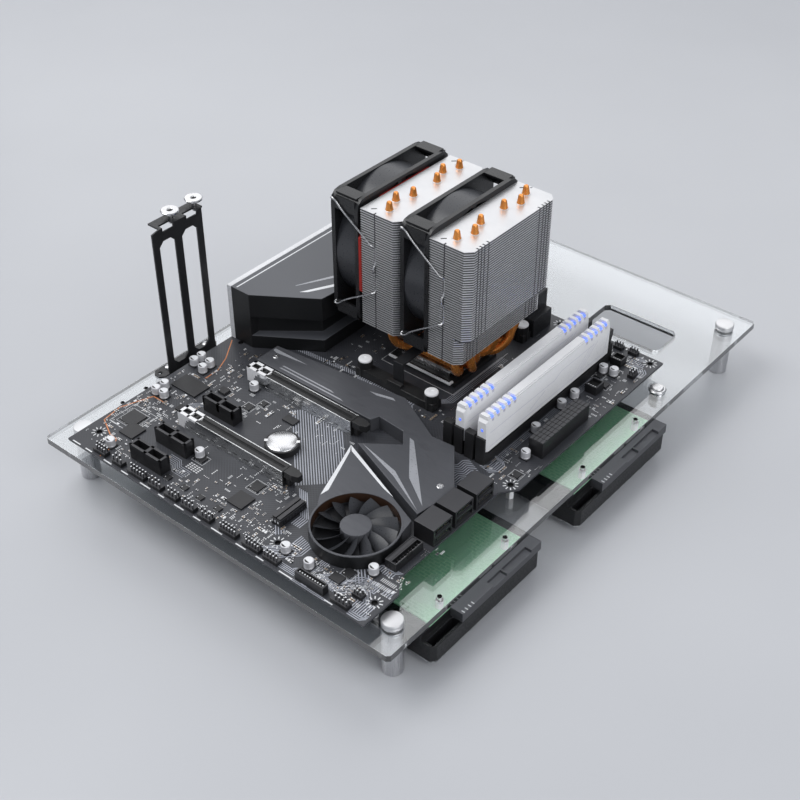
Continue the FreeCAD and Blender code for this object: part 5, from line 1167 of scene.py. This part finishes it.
def make_chipset_rotor():
    """The chipset fan's hub and thirteen curved blades."""
    low, high = span("chipset_fan_rotor")
    x, y = (low.x + high.x) / 2, (low.y + high.y) / 2
    bottom, top = low.z, high.z
    parts = Parts("chipset_blades", "chipset_rotor")
    hub = [(9.4, bottom), (9.4, top - 0.5), (9.1, top - 0.1), (8.6, top), (0, top)]
    parts.turned((x, y, 0), hub, "grey_cover", 56)
    add_blades(
        parts, 13, 6, (9.2, 24.3), (12.5, 3.2), lambda out: -0.16 * out ** 1.4,
        lambda out, across: bottom + 0.3 + (top - bottom - 0.9) * across ** 0.9,
        lambda across: 0.28 * sin(pi * (0.08 + 0.84 * across)) + 0.06,
        lambda dx, dy, z: (x + dx, y + dy, z),
    )
    parts.done("fan_black", replaces=("chipset_fan_rotor",))


def make_turned(name, slot, nodes, places, pieces, body="bench"):
    """The same turned pieces at some places: each has a height, a profile, a look and a number of sides."""
    parts = Parts(name, body)
    for x, y in places:
        for z, profile, look, sides in pieces:
            parts.turned((x, y, z), profile, look, sides)
    parts.done(slot, angle=30, replaces=nodes)


def make_feet():
    """Turned feet: a cap with a grooved rim, a post below, and the stud between them."""
    cap = [(6.4, 0), (6.5, 0.3), (6.5, 1.1), (6.25, 1.3), (6.5, 1.5), (6.5, 3.3), (6.1, 3.9), (5.7, 4.0),
           (0, 4.0)]
    post = [(0, 0), (6.1, 0), (6.5, 0.4), (6.5, 29.4), (6.2, 29.7), (6.2, 30.5), (6.5, 30.8), (6.5, 31.2),
            (6.2, 31.5), (0, 31.5)]
    places = [(x, y) for x in (-8.2, 249.1) for y in (17.7, 380.6)]
    pieces = [(PLATE_TOP, cap, "foot", 72), (-SHIFT.z, post, "post", 72),
              (PLATE_TOP - 4.5, [(2.0, 0), (2.0, 4.5)], "post", 24)]
    make_turned("turned_feet_pieces", "foot_metal", ("foot_caps", "foot_posts"), places, pieces)


def make_screws():
    """Thumbscrews with a socket, round screw heads, and the cooler's white caps."""
    low, high = span("bracket_thumbscrews")
    base = high.z - 1.6
    rim = [(0, 0), (5.5, 0), (5.95, 0.3), (5.95, 1.2), (5.5, 1.6), (2.1, 1.6), (1.9, 1.45), (1.7, 0.9)]
    shank = [(0, 0), (1.5, 0.2), (1.7, 0.5), (1.7, base - low.z)]
    head = [(2.8, 0), (2.8, 0.7), (2.4, 1.5), (1.5, 2.0), (0.9, 2.0), (0.7, 1.4), (0, 1.4)]
    flat_head = [(2.2, 0), (2.2, 0.35), (1.8, 0.6), (0.9, 0.6), (0.8, 0.2), (0, 0.2)]
    cap = [(4.6, 0), (4.6, 0.7), (4.2, 1.3), (3.4, 1.5), (1.5, 1.5), (1.2, 1.1), (0, 1.1)]
    # The socket in each thumbscrew's head is a dark disc of painted shade.
    make_turned(
        "thumbscrew_pieces", "screw_steel", ("bracket_thumbscrews",),
        [(-15.7, 114.4), (-15.7, 114.4 + CARD_PITCH)],
        [(base, rim, "steel", 48), (base, [(1.7, 0.9), (0, 0.9)], "void", 24), (low.z, shank, "steel", 24)],
    )
    shaft = [(0, 0), (1.5, 0), (1.5, 5.7)]
    make_turned("screw_heads", "screw_steel", ("stand_screws",), [(-15.4, 96.9), (-15.4, 131.5)],
                [(PLATE_TOP + 1.2, head, "steel", 28), (PLATE_TOP - 4.5, shaft, "steel", 16)])
    make_turned("cover_screws", "screw_steel", ("m2_cover_screws",), [(213, 104), (50, 135)],
                [(10, flat_head, "steel", 28)])
    make_turned("white_caps", "cap_white", ("bracket_screw_caps",),
                [(x, y) for x in (98.6, 154.5) for y in (168.8, 266.8)], [(11.6, cap, "white", 40)])


def make_button():
    """The push button: a flanged barrel with a ring, and its domed cap."""
    low, high = span("power_button_body")
    cap_low, cap_high = span("power_button_cap")
    middle = [((low.x + high.x) / 2, (low.y + high.y) / 2)]
    rise = cap_high.z - cap_low.z
    flange = [(4.9, 0), (5.7, 0.02), (6.0, 0.35), (5.9, 0.9), (5.2, 1.5), (4.4, 1.6), (4.05, 1.45),
              (3.95, 0.6)]
    barrel = [(0, 0), (4.7, 0), (4.9, 0.3), (4.9, PLATE_TOP - low.z)]
    dome = [(0, 0), (3.8, 0), (3.85, 0.2), (3.85, rise - 0.5), (3.5, rise - 0.12), (0, rise)]
    make_turned("button_barrel", "button_steel", ("power_button_body",), middle,
                [(PLATE_TOP, flange, "button", 56), (low.z, barrel, "button", 56)])
    make_turned("button_top", "button_steel", ("power_button_cap",), middle,
                [(cap_low.z, dome, "button", 56)], "power_button")


def make_memory_covers():
    """White covers with a stepped ridge, lit strips and painted shade in its notches, and fine lines of
    painted shade on their sides where their relief would be.
    """
    near, far, notch = 145.4, 279.8, 2.6
    section = [(-4.3, 10.0), (4.3, 10.0), (4.3, 29.6), (3.5, 33.4), (-3.5, 33.4), (-4.3, 29.6)]
    notches = [near + 4.4 + 5.6 * k for k in range(5)] + [far - 7.0 - 5.6 * k for k in range(5)]
    starts = [near + 1.4] + [y + notch for y in sorted(notches)]
    ends = sorted(notches) + [far - 1.4]
    side_lines = (
        (near + 3, 13.2, far - 8, 13.2), (near + 3, 24, near + 70, 24), (near + 70, 24, near + 78, 27.5),
        (near + 78, 27.5, far - 20, 27.5), (far - 44, 12, far - 24, 28), (far - 40, 12, far - 20, 28),
        (far - 36, 12, far - 16, 28), (far - 8, 11, far - 3, 27), (near + 44, 16, near + 60, 22),
    )
    for name, x in (("rear", 194.9), ("front", 211.5)):
        parts = Parts(name + "_memory_cover")
        rows = []
        for y, squeeze, drop in ((near, 0.72, 2.0), (near + 1.6, 1, 0), (far - 1.6, 1, 0), (far, 0.72, 2.0)):
            rows.append([(x + dx * squeeze, y, z - (drop if z > 20 else 0)) for dx, z in section])
        parts.grid(rows, "white", False, True)
        parts.face(rows[0], "white")
        parts.face(rows[-1], "white")
        for y0, y1 in zip(starts, ends):
            for half, low, high in ((3.4, 33.3, 34.9), (2.7, 34.9, 36.0)):
                ridge = [(x - half, y0), (x + half, y0), (x + half, y1), (x - half, y1)]
                parts.plate(ridge, low, high, "white")
        # Each notch's floor and side are painted in shade round the lit strip.
        for y in notches:
            parts.blocks(x, y, [
                (-3.0, -0.4, 0, notch, 33.3, 34.0, "white_in_shade"), (-0.3, 3.3, 0.1, 2.5, 33.3, 34.5, "glow"),
                (3.2, 3.9, 0.3, 2.3, 31.0, 33.6, "white_in_shade"),
            ])
        for y in (near - 0.2, far - 0.1):
            parts.box((x - 0.5, y, 24.6), (x + 0.9, y + 0.3, 26.4), "glow")
        # Lines of painted shade standing for relief on the cover's side.
        for y0, z0, y1, z1 in side_lines:
            corners = band((y0, z0), (y1, z1), 0.32)
            parts.face([(x + 4.31, c.x, c.y) for c in corners], "white_in_shade")
        parts.done("spreader_white", bevel=0.22, tidy=False,
                   replaces=("memory_spreaders",) if name == "rear" else ())


def make_drive_details():
    """Pins in the drives' connectors, and the pads on their green boards."""
    parts = Parts("drive_pins")
    for first_y in (57.2, 199.0):
        for n in range(4):
            y = first_y + 2.9 * n
            parts.blocks(0, y, [(268.36, 268.49, -0.35, 0.35, -25.2, -22.2, "bright"),
                                (266.2, 268.4, -0.35, 0.35, -20.14, -20.06, "bright")])
    parts.done("drive_black")


def make_sata_tongues():
    """The tongues in the stacked data sockets, each with seven contacts."""
    parts = Parts("plug_tongues")
    for first_y in (70, 89.8, 109.6):
        for z in (3.4, 9.0):
            parts.box((231, first_y + 3.2, z - 0.5), (235.2, first_y + 13.8, z + 0.5), "socket")
            for n in range(7):
                y = first_y + 4.2 + 1.35 * n
                parts.box((232.2, y - 0.3, z + 0.5), (235.0, y + 0.3, z + 0.56), "gold")
    parts.done("socket_black")


make_right_end_sockets()
make_tracks()
make_small_parts()
make_headers()
make_power_socket()
make_cans()
make_cell()
make_slots()
make_inlays()
make_ring()
make_chipset_rotor()
make_feet()
make_screws()
make_hole_shade()
make_button()
make_memory_covers()
make_drive_details()
make_sata_tongues()


# Eased edges


def ease(name, width):
    """Round a CAD piece's edges a little with modifiers, which leave its mesh as it is."""
    obj = NODES[name]
    obj.modifiers.new("joined", "WELD").merge_threshold = 1e-6
    flat = obj.modifiers.new("plain", "DECIMATE")
    flat.decimate_type = "DISSOLVE"
    flat.angle_limit = radians(0.5)
    round_edges(obj, width, 32)


for width, names in (
    (0.08, "slot_shields"),
    (0.1, "drive_circuit_boards drive_spacers"),
    (0.12, "slot_bracket_stand circuit_board long_slots board_chips"),
    (0.15, "memory_slots memory_latch_1 memory_latch_2 memory_latch_3 memory_latch_4"),
    (0.2, "chipset_cover upper_slot_latch lower_slot_latch sata_ports drive_lids drive_ports cooler_clip_bar "
          "fan_gasket rear_ports cpu_socket"),
    (0.25, "acrylic_plate supply_heatsink"),
    (0.3, "m2_cover cooler_base cooler_brackets processor"),
    (0.35, "io_cover io_cover_trim"),
    (0.4, "drive_housings"),
):
    for name in names.split():
        ease(name, width)


# Floor, lights and camera


def make_floor():
    """A plain pale floor that curves up behind."""
    mesh = bmesh.new()
    reach, curve, steps = 2.2, 1.6, 24
    profile = [(-6.0, 0.0), (reach, 0.0)]
    for k in range(1, steps + 1):
        a = radians(90) * k / steps
        profile.append((reach + curve * sin(a), curve - curve * cos(a)))
    profile.append((reach + curve, 6.0))
    turn = Matrix.Rotation(radians(39.9), 3, "Z")
    rows = [[mesh.verts.new(turn @ Vector((side, along, up))) for side in (-8, 8)] for along, up in profile]
    for a, b in zip(rows, rows[1:]):
        mesh.faces.new((a[0], a[1], b[1], b[0]))
    data = bpy.data.meshes.new("floor")
    mesh.to_mesh(data)
    mesh.free()
    floor = show("floor", data)
    floor.location.z = -0.0001
    mat, tree, shader = new_material("pale_floor")
    fac = spread(tree, noise(tree, coordinates(tree), 3))
    tint = blend_colours(tree, fac, (0.5, 0.51, 0.535), (0.53, 0.54, 0.565))
    link(tree, shader, {"Base Color": tint, "Roughness": 0.3})
    data.materials.append(mat)
    for face in data.polygons:
        face.use_smooth = True


def area_light(name, place, target, size, size_y, power):
    """A soft rectangular lamp that looks at a target."""
    data = bpy.data.lights.new(name, "AREA")
    data.shape = "RECTANGLE"
    data.size, data.size_y, data.energy = size, size_y, power
    obj = show(name, data)
    obj.location = place
    obj.rotation_mode = "QUATERNION"
    obj.rotation_quaternion = (Vector(target) - Vector(place)).to_track_quat("-Z", "Y")


def make_lights():
    """A key, a fill and a back lamp, and a pale even sky."""
    area_light("key", (-1.2, -0.7, 2.1), (0, 0, 0.05), 1.8, 1.8, 38)
    area_light("fill", (1.8, -0.5, 1.4), (0, 0, 0.05), 1.8, 1.8, 20)
    area_light("back", (-1.15, 1.7, 1.8), (0, 0.05, 0.05), 3.0, 2.2, 26)
    world = bpy.data.worlds.new("studio")
    world.use_nodes = True
    sky = {"Color": (0.75, 0.79, 0.86, 1), "Strength": 0.42}
    link(world.node_tree, world.node_tree.nodes["Background"], sky)
    bpy.context.scene.world = world


def make_camera():
    """The camera that fits the photograph: 39.9 degrees round and 38.1 degrees up."""
    round_by, up_by, roll = radians(39.882), radians(38.143), radians(-0.065)
    back = Vector((sin(round_by) * cos(up_by), -cos(round_by) * cos(up_by), sin(up_by)))
    data = bpy.data.cameras.new("camera")
    data.sensor_width = 36
    data.lens = 60.43
    data.clip_start = 0.01
    camera = show("camera", data)
    camera.location = (0.44794, -0.56024, 0.58052)
    camera.rotation_mode = "QUATERNION"
    lean = Matrix.Rotation(roll, 3, "Z").to_quaternion()
    camera.rotation_quaternion = (-back).to_track_quat("-Z", "Y") @ lean
    bpy.context.scene.camera = camera


make_floor()
make_lights()
make_camera()
bpy.context.scene.view_settings.view_transform = "Standard"
